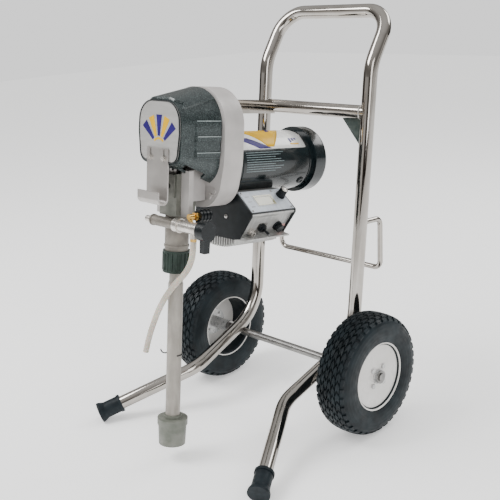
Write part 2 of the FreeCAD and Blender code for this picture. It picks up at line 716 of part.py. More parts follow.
def make_coupling_nut():
    nut = cyl(28.4, 46.0, (0, 0, 424)).cut(cyl(22.0, 30.0, (0, 0, 432)))
    nut = nut.cut(cyl(PUMP_R, 10, (0, 0, 462))).cut(cyl(14.0, 20, (0, 0, 420)))
    for k in range(12):
        turn = 2 * math.pi * k / 12
        nut = nut.cut(cyl(2.6, 34, (29.6 * math.cos(turn), 29.6 * math.sin(turn), 430)))
    return nut


def make_siphon_tube():
    tube = cyl(16.0, 298.0, (0, 0, 100))
    shoulder = Part.makeCone(16.0, 14.0, 6, V(0, 0, 398))
    neck = cyl(14.0, 28.0, (0, 0, 404))
    solid = tube.fuse([shoulder, neck]).cut(cyl(11.0, 340, (0, 0, 96)))
    return solid.removeSplitter()


def make_strainer():
    rim = cyl(33.0, 14.0, (0, 0, 84))
    basket = Part.makeCone(29.0, 31.0, 45, V(0, 0, 39))
    neck = cyl(19.5, 8.0, (0, 0, 98))
    solid = rim.fuse([basket, neck])
    solid = solid.cut(cyl(25.0, 36, (0, 0, 42))).cut(cyl(16.0, 7, (0, 0, 100)))
    return solid.cut(cyl(11.0, 30, (0, 0, 75))).removeSplitter()


ALONG_U = (1, 0, 0)


def make_manifold():
    body = cyl(11.0, 74.0, (-44, MANIFOLD_V, MANIFOLD_W), ALONG_U)
    collar = cyl(12.5, 5.0, (25, MANIFOLD_V, MANIFOLD_W), ALONG_U)
    step = cyl(12.0, 4.0, (-44, MANIFOLD_V, MANIFOLD_W), ALONG_U)
    return body.fuse([collar, step]).cut(cyl(5.0, 90, (-50, MANIFOLD_V, MANIFOLD_W), ALONG_U))


OUTLET_THREAD_R = 6.6


def make_hose_outlet():
    shank = cyl(OUTLET_THREAD_R, 16.0, (-64, MANIFOLD_V, MANIFOLD_W), ALONG_U)
    hexed = hexagon(17.0, 4.0, (-48, MANIFOLD_V, MANIFOLD_W), ALONG_U)
    spigot = cyl(5.0, 8.0, (-44, MANIFOLD_V, MANIFOLD_W), ALONG_U)
    solid = shank.fuse([hexed, spigot])
    return solid.cut(cyl(2.5, 40, (-70, MANIFOLD_V, MANIFOLD_W), ALONG_U)).removeSplitter()


VALVE_END_U = 106.0
BARB_U = 84.0


def make_valve_body():
    body = cyl(15.0, 14.0, (30, MANIFOLD_V, MANIFOLD_W), ALONG_U)
    boss = cyl(12.5, VALVE_END_U - 44, (44, MANIFOLD_V, MANIFOLD_W), ALONG_U)
    drain = cyl(8.0, 16.0, (BARB_U, MANIFOLD_V, MANIFOLD_W - 20))
    stem = cyl(4.0, 16.5, (VALVE_END_U - 2, MANIFOLD_V, MANIFOLD_W), ALONG_U)
    return body.fuse([boss, drain, stem]).removeSplitter()


def make_prime_knob():
    """A round cap with a tapered lever that hangs down when the valve is closed."""
    start = VALVE_END_U + 1.0
    cap = cyl(20.0, 22.0, (start, MANIFOLD_V, MANIFOLD_W), ALONG_U)
    lever = [(-8.5, 0), (8.5, 0), (7, -44), (-7, -44)]
    wire = Part.makePolygon([V(start + 4, MANIFOLD_V + v, MANIFOLD_W + w) for v, w in lever + lever[:1]])
    cap = cap.fuse(Part.Face(wire).extrude(V(14, 0, 0)))
    return cap.cut(cyl(4.0 + RUN_FIT, 15.5, (start - 1, MANIFOLD_V, MANIFOLD_W), ALONG_U))


BRASS_C = (70.0, MANIFOLD_W + 21.5)


def make_brass_fitting():
    u, w = BRASS_C
    nut = hexagon(15.0, 10.0, (u, MANIFOLD_V + 12, w), ALONG_V)
    neck = cyl(6.0, 24.0, (u, MANIFOLD_V - 2, w), ALONG_V)
    stem = cyl(5.0, 16.0, (u, MANIFOLD_V + 4, w - 16))
    solid = nut.fuse([neck, stem]).removeSplitter()
    return solid.cut(make_valve_body())


def make_transducer():
    u, w = BRASS_C
    start = MANIFOLD_V + 22
    body = cyl(12.5, 30.0, (u, start, w), ALONG_V)
    for k in range(3):
        body = body.cut(ring(14.0, 10.8, 3.0, (u, start + 5 + 9 * k, w), ALONG_V))
    return body


def make_drain_barb():
    top = MANIFOLD_W - 20
    hexed = hexagon(12.0, 6.0, (BARB_U, MANIFOLD_V, top - 6))
    stem = cyl(HOSE_BORE_R, 18.0, (BARB_U, MANIFOLD_V, top - 24))
    return hexed.fuse(stem).removeSplitter()


# The drain hose hangs free from the barb and crosses in front of the siphon tube.
HOSE_ROUTE = [(BARB_U, -28, 504), (BARB_U, -28, 479), (76.8, -29, 454), (60.3, -30, 431),
              (39, -31, 411.5), (18, -31, 390), (-2, -31, 365), (-19.5, -31, 337), (-33.5, -32, 305),
              (-46, -33, 273), (-54, -34, 239.5)]


def hose_radii(points):
    radii = []
    for i in range(1, len(points) - 1):
        before = V(*points[i - 1]) - V(*points[i])
        after = V(*points[i + 1]) - V(*points[i])
        turn = math.pi - before.getAngle(after)
        radii.append(0.45 * min(before.Length, after.Length) / math.tan(turn / 2))
    return radii


def make_drain_hose():
    radii = hose_radii(HOSE_ROUTE)
    print("drain hose radii", [round(r) for r in radii])
    hose = sweep(HOSE_ROUTE, radii, HOSE_R)
    length = path_wire(HOSE_ROUTE, radii).Length
    print("drain hose length", round(length, 1), "volume ratio",
          round(hose.Volume / (math.pi * HOSE_R ** 2 * length), 4))
    inside = cyl(HOSE_BORE_R, 20.0, (BARB_U, MANIFOLD_V, MANIFOLD_W - 44))
    return hose.cut(inside)


# ---- control box ----
BOX_OUTLINE = [(-62, 590), (62, 590), (109, 551), (109, 546), (101, 540), (74, 498), (98, 494),
               (98, 491), (60, 490), (-62, 490)]
PANEL_LOW = (109.0, 551.0)
PANEL_HIGH = (62.0, 590.0)
FIN_PITCH = 7.5


def saddle(v0, v1, extra=1.5):
    return cyl(MOTOR_R + extra, v1 - v0, (0, v0, MOTOR_W), ALONG_V)


def make_control_housing():
    front, rear = BOX_FRONT_V, BOX_REAR_V
    outer = prism(BOX_OUTLINE, front, rear).cut(saddle(front, rear, 0.0))
    room = [(-58, 560), (-20, 560), (20, 560), (56, 585), (100, 549), (97, 542), (71, 502), (56, 494),
            (-58, 494)]
    inner = prism(room, front, rear).cut(saddle(front, rear, 5.0))
    body = outer.cut(inner)
    count = 16
    for k in range(count):
        u = -56 + FIN_PITCH * k
        depth = 24 * math.sqrt(max(1 - ((u - 2) / 66.0) ** 2, 0.05))
        body = body.fuse(block((u, front, 490.5 - depth), (u + 3, rear, 491)))
    hole = cyl(3.3, 16, panel_place(KNOB_V, KNOB_UP, -12), PANEL_NORMAL)
    return body.cut(hole).removeSplitter()


def make_end_plates():
    outline = [(-64, 588), (64, 588), (111, 552), (111, 545), (76, 492), (60, 489), (-64, 489)]
    plates = []
    for v0, v1 in ((BOX_FRONT_V - 3, BOX_FRONT_V), (BOX_REAR_V, BOX_REAR_V + 3)):
        plates.append(prism(outline, v0, v1).cut(saddle(v0, v1, 0.5)))
    return Part.makeCompound(plates)


def panel_place(along, up, out=0.0):
    """A point on the sloped panel: along v, up the slope from its lower edge, and out from it."""
    du, dw = PANEL_HIGH[0] - PANEL_LOW[0], PANEL_HIGH[1] - PANEL_LOW[1]
    run = math.hypot(du, dw)
    slope, normal = (du / run, dw / run), (dw / run, -du / run)
    return (PANEL_LOW[0] + slope[0] * up + normal[0] * out, along,
            PANEL_LOW[1] + slope[1] * up + normal[1] * out)


PANEL_NORMAL = tuple(b - a for a, b in zip(panel_place(0, 0), panel_place(0, 0, 1.0)))
PANEL_T = 2.0


def panel_block(v0, v1, up0, up1, out0, out1):
    corners = [panel_place(v0, up0, out0), panel_place(v0, up1, out0), panel_place(v0, up1, out1),
               panel_place(v0, up0, out1)]
    wire = Part.makePolygon([V(*p) for p in corners + corners[:1]])
    return Part.Face(wire).extrude(V(0, v1 - v0, 0))


KNOB_V, KNOB_UP = 224.0, 40.0


def make_control_panel():
    panel = panel_block(BOX_FRONT_V + 1, BOX_REAR_V - 1, 1.5, 59.5, 0, PANEL_T)
    panel = panel.cut(panel_block(142, 196, 18, 46, 0, 5))
    return panel.cut(cyl(3.2, 12, panel_place(KNOB_V, KNOB_UP, -4), PANEL_NORMAL))


def make_lcd():
    frame = panel_block(142, 196, 18, 46, 0, PANEL_T + 1.2)
    return frame.cut(panel_block(147, 191, 22.5, 41.5, PANEL_T, 6))


def make_pressure_knob():
    base = panel_place(KNOB_V, KNOB_UP, PANEL_T + 0.8)
    knob = cyl(11.0, 3.0, base, PANEL_NORMAL)
    top = panel_place(KNOB_V, KNOB_UP, PANEL_T + 3.8)
    knob = knob.fuse(Part.makeCone(9.6, 8.6, 16.0, V(*top), V(*PANEL_NORMAL)))
    pointer = panel_block(KNOB_V - 1, KNOB_V + 1, KNOB_UP + 5, KNOB_UP + 10.4, PANEL_T + 0.8, PANEL_T + 20)
    stem = cyl(3.0, 14.0, panel_place(KNOB_V, KNOB_UP, -3.5), PANEL_NORMAL)
    return knob.fuse([pointer, stem]).removeSplitter()


SIDE_LOW, SIDE_HIGH = (74.0, 498.0), (101.0, 540.0)


def side_place(along, up, out=0.0):
    du, dw = SIDE_HIGH[0] - SIDE_LOW[0], SIDE_HIGH[1] - SIDE_LOW[1]
    run = math.hypot(du, dw)
    slope, normal = (du / run, dw / run), (dw / run, -du / run)
    return (SIDE_LOW[0] + slope[0] * up + normal[0] * out, along,
            SIDE_LOW[1] + slope[1] * up + normal[1] * out)


SIDE_NORMAL = tuple(b - a for a, b in zip(side_place(0, 0), side_place(0, 0, 1.0)))
TOGGLE_V, TOGGLE_UP = 164.0, 20.0
FUSE_V, FUSE_UP = 212.0, 20.0
GLAND_V, GLAND_UP = 136.0, 12.0


def make_toggle_body():
    boot = ring(10.0, 4.2, 6.0, side_place(TOGGLE_V, TOGGLE_UP), SIDE_NORMAL)
    return boot.fuse(ring(7.6, 4.2, 3.0, side_place(TOGGLE_V, TOGGLE_UP, 6.0), SIDE_NORMAL)).removeSplitter()


def make_toggle_lever():
    base, tip = side_place(TOGGLE_V, TOGGLE_UP, 2.0), side_place(TOGGLE_V + 3, TOGGLE_UP, 25.0)
    d = V(*tip) - V(*base)
    pin_start = side_place(TOGGLE_V, TOGGLE_UP - 3.0, 2.0)
    along = tuple(b - a for a, b in zip(side_place(0, 0), side_place(0, 1.0)))
    pivot = cyl(1.6, 6.0, pin_start, along)
    return Part.makeCone(2.0, 3.2, d.Length, V(*base), d).fuse(pivot).removeSplitter()


def make_fuse_knob():
    base = side_place(FUSE_V, FUSE_UP)
    knob = cyl(11.5, 4.0, base, SIDE_NORMAL)
    return knob.fuse(cyl(9.0, 14.0, base, SIDE_NORMAL)).removeSplitter()


def make_cord_gland():
    """The inlet that the mains lead enters by; the lead itself is not part of the model."""
    base = side_place(GLAND_V, GLAND_UP)
    nut = hexagon(16.0, 6.0, base, SIDE_NORMAL)
    dome = cyl(6.0, 12.0, base, SIDE_NORMAL)
    return nut.fuse(dome).cut(cyl(3.6, 30, base, SIDE_NORMAL)).removeSplitter()


def make_circuit_board():
    board = block((-40, 122, 510), (60, 228, 511.6))
    chips = [block((-30 + 22 * k, 140, 511.6), (-18 + 22 * k, 172, 517)) for k in range(4)]
    posts = [block((u, v, 494), (u + 6, v + 6, 510)) for u in (-38, 50) for v in (124, 220)]
    return board.fuse(chips + posts).removeSplitter()


# ---- build ----
def build_cart():
    main = make_main_tube()
    solid_route = half_route(-1) + half_route(1)[::-1]
    bends = [BEND_KNEE_R, BEND_BOTTOM_R, BEND_HANDLE_R, BEND_CORNER_R]
    solid_main = sweep(solid_route, bends + bends[::-1], TUBE_R)
    cross = make_cross_tube(solid_main)
    solid_cross = cyl(TUBE_R, 2 * UPRIGHT_X, (-UPRIGHT_X, upright_y(CROSS_Z), CROSS_Z), X)
    axle = make_axle()
    add("main_frame_tube", main, False)
    add("cross_tube", cross, False)
    add("cross_gusset", make_gusset(solid_main, solid_cross), False)
    add("mounting_arm", make_mounting_arm(solid_cross, solid_main), False)
    add("cord_wrap_rod", make_cord_rod(solid_main), False)
    add("axle", axle.cut(solid_main), False)
    add("axle_washers", make_axle_washers(), False)
    add("foot_caps", Part.makeCompound([make_foot_cap(-1), make_foot_cap(1)]), False)


def build_wheels():
    for side, name in ((-1, "left"), (1, "right")):
        add("tyre_" + name, make_tyre(side), False)
        add("rim_" + name, make_rim(side), False)
        add("hub_" + name, make_hub(side), False)
        add("hub_bolts_" + name, make_hub_bolts(side), False)


def build_sprayer():
    makers = {
        "gear_housing": make_gear_housing, "front_cover": make_front_cover,
        "front_plate": make_front_plate, "bucket_hook": make_bucket_hook,
        "front_screws": make_front_screws, "motor_end_bell": make_end_bell,
        "motor_can": make_motor_can, "motor_rear_cap": make_motor_cap,
        "motor_magnets": make_magnets, "shaft_bearings": make_shaft_bearings,
        "rotor_shaft": make_rotor_shaft, "armature": make_armature,
        "layshaft": make_lay_shaft,
        "crank_gear": make_crank_gear,
        "crankshaft": make_crankshaft, "connecting_rod": make_connecting_rod,
        "slider": make_slider, "piston_rod": make_piston_rod,
        "pump_block": make_pump_block,
        "rod_packings": make_packings, "inlet_seat": make_inlet_seat, "inlet_ball": make_inlet_ball,
        "coupling_nut": make_coupling_nut, "siphon_tube": make_siphon_tube,
        "strainer": make_strainer, "hose_outlet": make_hose_outlet,
        "prime_knob": make_prime_knob,
        "brass_fitting": make_brass_fitting, "pressure_transducer": make_transducer,
        "drain_barb": make_drain_barb, "drain_hose": make_drain_hose,
        "control_housing": make_control_housing, "control_end_plates": make_end_plates,
        "control_panel": make_control_panel, "lcd_window": make_lcd,
        "pressure_knob": make_pressure_knob, "toggle_body": make_toggle_body,
        "toggle_lever": make_toggle_lever, "fuse_knob": make_fuse_knob,
        "cord_gland": make_cord_gland, "circuit_board": make_circuit_board,
    }
    add("manifold", make_manifold())
    add("prime_valve_body", make_valve_body())
    add("pump_cylinder", make_pump_cylinder(cyl(12.5, 90, (-50, MANIFOLD_V, MANIFOLD_W), ALONG_U)))
    for name, maker in makers.items():
        add(name, maker())


def export_all():
    box = FreeCAD.BoundBox()
    for shape in nodes.values():
        box.add(shape.optimalBoundingBox())
    shift = V(-(box.XMin + box.XMax) / 2, -(box.YMin + box.YMax) / 2, -box.ZMin)
    print("shift", [round(c, 3) for c in shift], "size", round(box.XLength, 1),
          round(box.YLength, 1), round(box.ZLength, 1))
    for name, shape in nodes.items():
        shape.translate(shift)
        shape.exportStep("parts/" + name + ".step")


build_cart()
build_wheels()
build_sprayer()
export_all()
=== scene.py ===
import json
import math

import bmesh
import bpy
from mathutils import Matrix, Vector
from mathutils.bvhtree import BVHTree


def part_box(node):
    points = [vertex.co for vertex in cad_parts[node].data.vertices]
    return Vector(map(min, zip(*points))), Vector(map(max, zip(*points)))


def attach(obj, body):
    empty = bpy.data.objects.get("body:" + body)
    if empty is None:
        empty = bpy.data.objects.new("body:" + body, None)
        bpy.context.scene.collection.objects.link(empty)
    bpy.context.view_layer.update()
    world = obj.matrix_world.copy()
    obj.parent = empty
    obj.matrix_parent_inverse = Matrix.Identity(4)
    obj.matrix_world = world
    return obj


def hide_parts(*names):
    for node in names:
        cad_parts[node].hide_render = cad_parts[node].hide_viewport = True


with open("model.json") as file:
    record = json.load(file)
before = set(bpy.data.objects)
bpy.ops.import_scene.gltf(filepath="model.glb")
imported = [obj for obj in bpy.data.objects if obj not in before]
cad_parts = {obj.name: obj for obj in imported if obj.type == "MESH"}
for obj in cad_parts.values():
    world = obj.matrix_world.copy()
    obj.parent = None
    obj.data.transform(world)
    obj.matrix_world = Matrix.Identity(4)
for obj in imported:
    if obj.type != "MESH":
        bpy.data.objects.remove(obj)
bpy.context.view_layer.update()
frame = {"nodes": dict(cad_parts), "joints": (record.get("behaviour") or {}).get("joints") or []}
MM = 0.001

# ---- the sprayer's own frame: u = +X, v = rearward, w = up along the pump, in millimetres ----
JOINTS = {j["name"]: j for j in frame["joints"]}
CRANK_V, CRANK_W = 50.0, 712.0
crank = JOINTS["crank_spin"]
ALONG_U = Vector((1, 0, 0))
ALONG_V = -Vector(crank["axis"]).normalized()
ALONG_W = ALONG_U.cross(ALONG_V)
ORIGIN = Vector(crank["pos_m"]) - ALONG_V * CRANK_V * MM - ALONG_W * CRANK_W * MM
MOTOR_W, MOTOR_R = 645.0, 67.0
PLATE_V = -53.0


def local(u, v, w):
    """A point given in the sprayer's frame, in the cart's frame in metres."""
    return ORIGIN + (ALONG_U * u + ALONG_V * v + ALONG_W * w) * MM


# ---- camera ----
AZIMUTH, PITCH, ROLL = map(math.radians, (45.96, 16.83, -2.97))
TARGET = Vector((0.0, -0.0201, 0.4121))
DISTANCE, LENS = 1.948, 61.7


def make_camera():
    back = Vector((math.sin(AZIMUTH) * math.cos(PITCH), -math.cos(AZIMUTH) * math.cos(PITCH),
                   math.sin(PITCH)))
    right = (-back).cross(Vector((0, 0, 1))).normalized()
    up = right.cross(-back)
    side = right * math.cos(ROLL) + up * math.sin(ROLL)
    top = up * math.cos(ROLL) - right * math.sin(ROLL)
    camera = bpy.data.objects.new("camera", bpy.data.cameras.new("camera"))
    camera.matrix_world = Matrix.Translation(TARGET + back * DISTANCE) @ Matrix(
        (side, top, back)).transposed().to_4x4()
    camera.data.lens = LENS
    camera.data.sensor_width = 36.0
    bpy.context.scene.collection.objects.link(camera)
    bpy.context.scene.camera = camera


make_camera()


# ---- materials ----
class Nodes:
    """A small helper that builds a material's node tree."""

    def __init__(self, name):
        self.material = bpy.data.materials.new(name)
        self.material.use_nodes = True
        self.tree = self.material.node_tree
        self.shader = self.tree.nodes["Principled BSDF"]
        self.place = self.add("ShaderNodeTexCoord").outputs["Object"]

    def add(self, kind, **settings):
        node = self.tree.nodes.new(kind)
        for key, value in settings.items():
            setattr(node, key, value)
        return node

    def link(self, a, b):
        self.tree.links.new(a, b)

    def noise(self, scale, detail=4.0, stretch=(1, 1, 1), rough=0.5):
        mapping = self.add("ShaderNodeMapping")
        mapping.inputs["Scale"].default_value = stretch
        self.link(self.place, mapping.inputs["Vector"])
        node = self.add("ShaderNodeTexNoise")
        node.inputs["Scale"].default_value = scale
        node.inputs["Detail"].default_value = detail
        node.inputs["Roughness"].default_value = rough
        self.link(mapping.outputs["Vector"], node.inputs["Vector"])
        return node.outputs["Fac"]

    def cells(self, scale):
        node = self.add("ShaderNodeTexVoronoi", feature="SMOOTH_F1")
        node.inputs["Scale"].default_value = scale
        self.link(self.place, node.inputs["Vector"])
        return node.outputs["Distance"]

    def blend(self, factor, low, high, start=0.35, end=0.65):
        ramp = self.add("ShaderNodeValToRGB")
        ramp.color_ramp.elements[0].position = start
        ramp.color_ramp.elements[1].position = end
        ramp.color_ramp.elements[0].color = (*low, 1)
        ramp.color_ramp.elements[1].color = (*high, 1)
        self.link(factor, ramp.inputs["Fac"])
        return ramp.outputs["Color"]

    def spread(self, factor, low, high):
        node = self.add("ShaderNodeMapRange")
        node.inputs["From Min"].default_value = 0.3
        node.inputs["From Max"].default_value = 0.7
        node.inputs["To Min"].default_value = low
        node.inputs["To Max"].default_value = high
        self.link(factor, node.inputs["Value"])
        return node.outputs["Result"]

    def bump(self, height, strength, distance=0.0004, under=None):
        node = self.add("ShaderNodeBump")
        node.inputs["Strength"].default_value = strength
        node.inputs["Distance"].default_value = distance
        self.link(height, node.inputs["Height"])
        if under:
            self.link(under, node.inputs["Normal"])
        self.link(node.outputs["Normal"], self.shader.inputs["Normal"])
        return node.outputs["Normal"]


def finish(name, low, high, rough, metallic=0.0, tone=40.0, grain=900.0, bump=0.08,
           stretch=(1, 1, 1), coat=0.0, **sockets):
    """The general finish: mottled colour, uneven roughness and a fine grain."""
    n = Nodes(name)
    n.link(n.blend(n.noise(tone, 5.0, stretch), low, high), n.shader.inputs["Base Color"])
    n.link(n.spread(n.noise(tone * 2.3, 6.0, stretch), *rough), n.shader.inputs["Roughness"])
    n.shader.inputs["Metallic"].default_value = metallic
    n.shader.inputs["Coat Weight"].default_value = coat
    n.shader.inputs["Coat Roughness"].default_value = 0.06
    for socket, value in sockets.items():
        n.shader.inputs[socket.replace("_", " ")].default_value = value
    n.bump(n.noise(grain, 3.0, stretch), bump)
    return n.material


def hammered_finish():
    """Dark enamel with dimples and paler flecks."""
    n = Nodes("hammered_enamel")
    cells = n.cells(330.0)
    flecks = n.noise(520.0, 2.0)
    n.link(n.blend(flecks, (0.010, 0.018, 0.019), (0.105, 0.135, 0.132), 0.47, 0.78),
           n.shader.inputs["Base Color"])
    n.link(n.spread(n.noise(120.0), 0.24, 0.38), n.shader.inputs["Roughness"])
    n.shader.inputs["Metallic"].default_value = 0.25
    n.shader.inputs["Coat Weight"].default_value = 0.25
    under = n.bump(cells, 0.4, 0.0006)
    n.bump(n.noise(700.0), 0.1, 0.0003, under)
    return n.material


MATERIALS = {
    "chrome": finish("chrome", (0.36, 0.335, 0.305), (0.45, 0.425, 0.395), (0.03, 0.09), 1.0,
                     tone=14.0, grain=260.0, bump=0.012),
    "axle": finish("axle_steel", (0.22, 0.215, 0.21), (0.30, 0.295, 0.285), (0.25, 0.4), 1.0,
                   tone=60.0, bump=0.04),
    "gusset": finish("gusset_steel", (0.05, 0.07, 0.066), (0.10, 0.125, 0.12), (0.3, 0.45), 0.8,
                     tone=60.0, bump=0.06),
    # ridge: a pale colour for the rods along the mouldings' top edges, a painted highlight where those
    # edges would catch the light
    "ridge": finish("ridge_painted_highlight", (0.26, 0.31, 0.31), (0.40, 0.45, 0.45), (0.3, 0.45), 0.3),
    "hub": finish("hub_enamel", (0.50, 0.50, 0.50), (0.60, 0.60, 0.59), (0.22, 0.36), 0.35,
                  tone=50.0, grain=900.0, bump=0.04),
    "strainer": finish("strainer_plastic", (0.115, 0.125, 0.10), (0.175, 0.18, 0.155), (0.38, 0.55),
                       tone=50.0, grain=1400.0, bump=0.12),
    "casting": finish("grey_casting", (0.42, 0.40, 0.385), (0.50, 0.475, 0.46), (0.4, 0.55), 0.15,
                      tone=22.0, grain=1300.0, bump=0.12),
    "hammered": hammered_finish(),
    "plate": finish("satin_plate", (0.38, 0.375, 0.36), (0.44, 0.43, 0.415), (0.38, 0.52), 0.4,
                    tone=30.0, grain=1600.0, stretch=(1, 1, 6), bump=0.06),
    "strap": finish("stainless_strap", (0.40, 0.38, 0.36), (0.47, 0.45, 0.43), (0.28, 0.38), 0.8,
                    tone=25.0, grain=900.0, bump=0.03),
    "motor": finish("motor_enamel", (0.003, 0.006, 0.007), (0.007, 0.013, 0.015), (0.14, 0.26),
                    tone=18.0, grain=420.0, bump=0.03, coat=0.35, Specular_IOR_Level=0.35),
    "rubber": finish("rubber", (0.003, 0.007, 0.010), (0.008, 0.014, 0.018), (0.42, 0.6),
                     tone=60.0, grain=1500.0, bump=0.15, Specular_IOR_Level=0.22),
    "tyre": finish("tyre_rubber", (0.003, 0.006, 0.008), (0.010, 0.017, 0.021), (0.4, 0.6),
                   tone=26.0, grain=1100.0, bump=0.2, Specular_IOR_Level=0.24),
    "rim": finish("rim_enamel", (0.66, 0.64, 0.61), (0.76, 0.745, 0.72), (0.22, 0.36),
                  tone=9.0, grain=500.0, bump=0.03, coat=0.35),
    "brass": finish("brass", (0.50, 0.28, 0.06), (0.72, 0.46, 0.14), (0.18, 0.34), 1.0, tone=90.0),
    "nickel": finish("nickel_plate", (0.56, 0.53, 0.49), (0.70, 0.67, 0.63), (0.20, 0.34), 0.85,
                     tone=60.0, grain=1500.0, bump=0.05),
    "plastic": finish("black_plastic", (0.003, 0.005, 0.006), (0.008, 0.011, 0.013), (0.24, 0.38),
                      tone=70.0, grain=1800.0, bump=0.08, Specular_IOR_Level=0.3),
    "pump": finish("pump_casting", (0.17, 0.155, 0.135), (0.25, 0.23, 0.20), (0.40, 0.58), 0.45,
                   tone=45.0, grain=900.0, bump=0.14),
    "block": finish("pump_block", (0.13, 0.135, 0.115), (0.21, 0.21, 0.185), (0.42, 0.58), 0.4,
                    tone=45.0, grain=900.0, bump=0.12),
    "siphon": finish("siphon_tube", (0.27, 0.25, 0.22), (0.36, 0.335, 0.30), (0.38, 0.52), 0.3,
                     tone=20.0, grain=800.0, stretch=(3, 3, 1), bump=0.06),
    "nut": finish("nut_plastic", (0.010, 0.022, 0.016), (0.020, 0.036, 0.028), (0.42, 0.6),
                  tone=60.0, grain=1200.0, bump=0.12, Specular_IOR_Level=0.35),
    "panel": finish("panel_aluminium", (0.47, 0.51, 0.56), (0.55, 0.59, 0.64), (0.34, 0.46), 0.3,
                    tone=28.0, grain=1900.0, stretch=(1, 5, 1), bump=0.04),
    "extrusion": finish("box_extrusion", (0.42, 0.42, 0.41), (0.53, 0.53, 0.51), (0.34, 0.50), 0.55,
                        tone=28.0, grain=1500.0, stretch=(1, 6, 1), bump=0.07),
    "endplate": finish("end_plate", (0.003, 0.005, 0.006), (0.007, 0.010, 0.012), (0.3, 0.45),
                       tone=50.0, grain=1500.0, bump=0.1, Specular_IOR_Level=0.3),
    "lcd": finish("lcd_glass", (0.30, 0.29, 0.17), (0.36, 0.345, 0.21), (0.10, 0.18),
                  tone=30.0, grain=400.0, bump=0.01, coat=0.8),
    "frame_grey": finish("bezel", (0.50, 0.53, 0.56), (0.58, 0.60, 0.63), (0.3, 0.42), 0.1),
    "steel": finish("machined_steel", (0.38, 0.37, 0.36), (0.52, 0.51, 0.50), (0.22, 0.36), 1.0,
                    tone=120.0, grain=1500.0, bump=0.06),
    "copper": finish("armature", (0.22, 0.10, 0.045), (0.36, 0.17, 0.07), (0.3, 0.45), 0.8),
    "magnet": finish("magnet", (0.03, 0.03, 0.032), (0.06, 0.06, 0.06), (0.5, 0.65)),
    "board": finish("circuit_board", (0.01, 0.09, 0.04), (0.02, 0.14, 0.06), (0.35, 0.5)),
    "packing": finish("packing", (0.70, 0.68, 0.60), (0.80, 0.78, 0.72), (0.5, 0.65)),
    "hose": finish("drain_hose", (0.50, 0.455, 0.38), (0.62, 0.57, 0.49), (0.20, 0.34), tone=24.0,
                   grain=600.0, bump=0.03, Transmission_Weight=0.18, Subsurface_Weight=0.25,
                   Subsurface_Scale=0.01),
    "white": finish("label_white", (0.72, 0.72, 0.70), (0.80, 0.80, 0.78), (0.24, 0.34), coat=0.4),
    "gold": finish("label_gold", (0.62, 0.35, 0.0), (0.70, 0.41, 0.0), (0.3, 0.4),
                   Specular_IOR_Level=0.3),
    "navy": finish("label_navy", (0.014, 0.006, 0.10), (0.022, 0.009, 0.15), (0.3, 0.4),
                   Specular_IOR_Level=0.3),
    "grey_ink": finish("label_grey", (0.20, 0.22, 0.23), (0.30, 0.32, 0.33), (0.3, 0.45)),
    "dim_ink": finish("label_dim", (0.10, 0.14, 0.15), (0.22, 0.27, 0.28), (0.3, 0.45), tone=300.0),
    "pink": finish("label_pink", (0.62, 0.34, 0.32), (0.74, 0.46, 0.43), (0.35, 0.5)),
    "weld": finish("weld_bead", (0.34, 0.33, 0.32), (0.62, 0.60, 0.57), (0.16, 0.4), 1.0,
                   tone=300.0, grain=900.0, bump=0.4),
}

NODE_FINISH = {
    "chrome": "main_frame_tube cross_tube mounting_arm cord_wrap_rod", "gusset": "cross_gusset",
    "axle": "axle axle_washers", "casting": "gear_housing motor_end_bell",
    "hammered": "front_cover", "plate": "front_plate", "strap": "bucket_hook",
    "motor": "motor_can motor_rear_cap", "rubber": "foot_caps", "tyre": "tyre_left tyre_right",
    "rim": "rim_left rim_right", "brass": "brass_fitting drain_barb",
    "nickel": "prime_valve_body hose_outlet front_screws cord_gland",
    "hub": "hub_left hub_right hub_bolts_left hub_bolts_right",
    "plastic": "prime_knob pressure_knob toggle_lever fuse_knob pressure_transducer",
    "hose": "drain_hose", "pump": "pump_cylinder manifold", "block": "pump_block",
    "siphon": "siphon_tube", "strainer": "strainer", "nut": "coupling_nut", "lcd": "lcd_window",
    "panel": "control_panel", "extrusion": "control_housing",
    "endplate": "control_end_plates toggle_body",
    "steel": "rotor_shaft layshaft crank_gear crankshaft connecting_rod slider piston_rod "
             "shaft_bearings inlet_seat inlet_ball",
    "copper": "armature", "magnet": "motor_magnets", "board": "circuit_board",
    "packing": "rod_packings",
}
SOFT_EDGES = {"front_cover": 2.2, "gear_housing": 1.2, "bucket_hook": 0.5, "front_plate": 0.6,
              "control_end_plates": 0.6, "control_panel": 0.4, "control_housing": 0.5,
              "prime_knob": 1.2, "pump_block": 0.8, "mounting_arm": 1.6, "motor_end_bell": 0.8,
              "fuse_knob": 0.6, "toggle_body": 0.5, "lcd_window": 0.3, "motor_rear_cap": 0.6,
              "pump_cylinder": 0.5, "manifold": 0.7, "prime_valve_body": 0.8, "foot_caps": 0.8,
              "strainer": 0.6, "cross_gusset": 0.5, "rim_left": 0.8, "rim_right": 0.8,
              "hub_left": 0.5, "hub_right": 0.5, "coupling_nut": 0.6}
SMOOTH_ANGLE = math.radians(32)


def smooth(piece, angle=SMOOTH_ANGLE):
    bpy.context.view_layer.objects.active = piece
    for other in bpy.context.selected_objects:
        other.select_set(False)
    piece.select_set(True)
    bpy.ops.object.shade_auto_smooth(angle=angle)


def soften(piece, width):
    bevel = piece.modifiers.new("edge", "BEVEL")
    bevel.width = width * MM
    bevel.segments = 2
    bevel.limit_method = "ANGLE"
    bevel.angle_limit = math.radians(35)
    bevel.use_clamp_overlap = True
    bevel.harden_normals = False


def dress_cad():
    for finish_name, names in NODE_FINISH.items():
        for name in names.split():
            piece = frame["nodes"][name]
            piece.data.materials.clear()
            piece.data.materials.append(MATERIALS[finish_name])
            if name in SOFT_EDGES:
                soften(piece, SOFT_EDGES[name])


dress_cad()


# ---- making pieces ----
def place_piece(name, mesh, material, body="cart", matrix=None):
    if matrix:
        mesh.transform(matrix)
    piece = bpy.data.objects.new(name, mesh)
    bpy.context.scene.collection.objects.link(piece)
    mesh.materials.append(MATERIALS[material])
    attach(piece, body)
    return piece


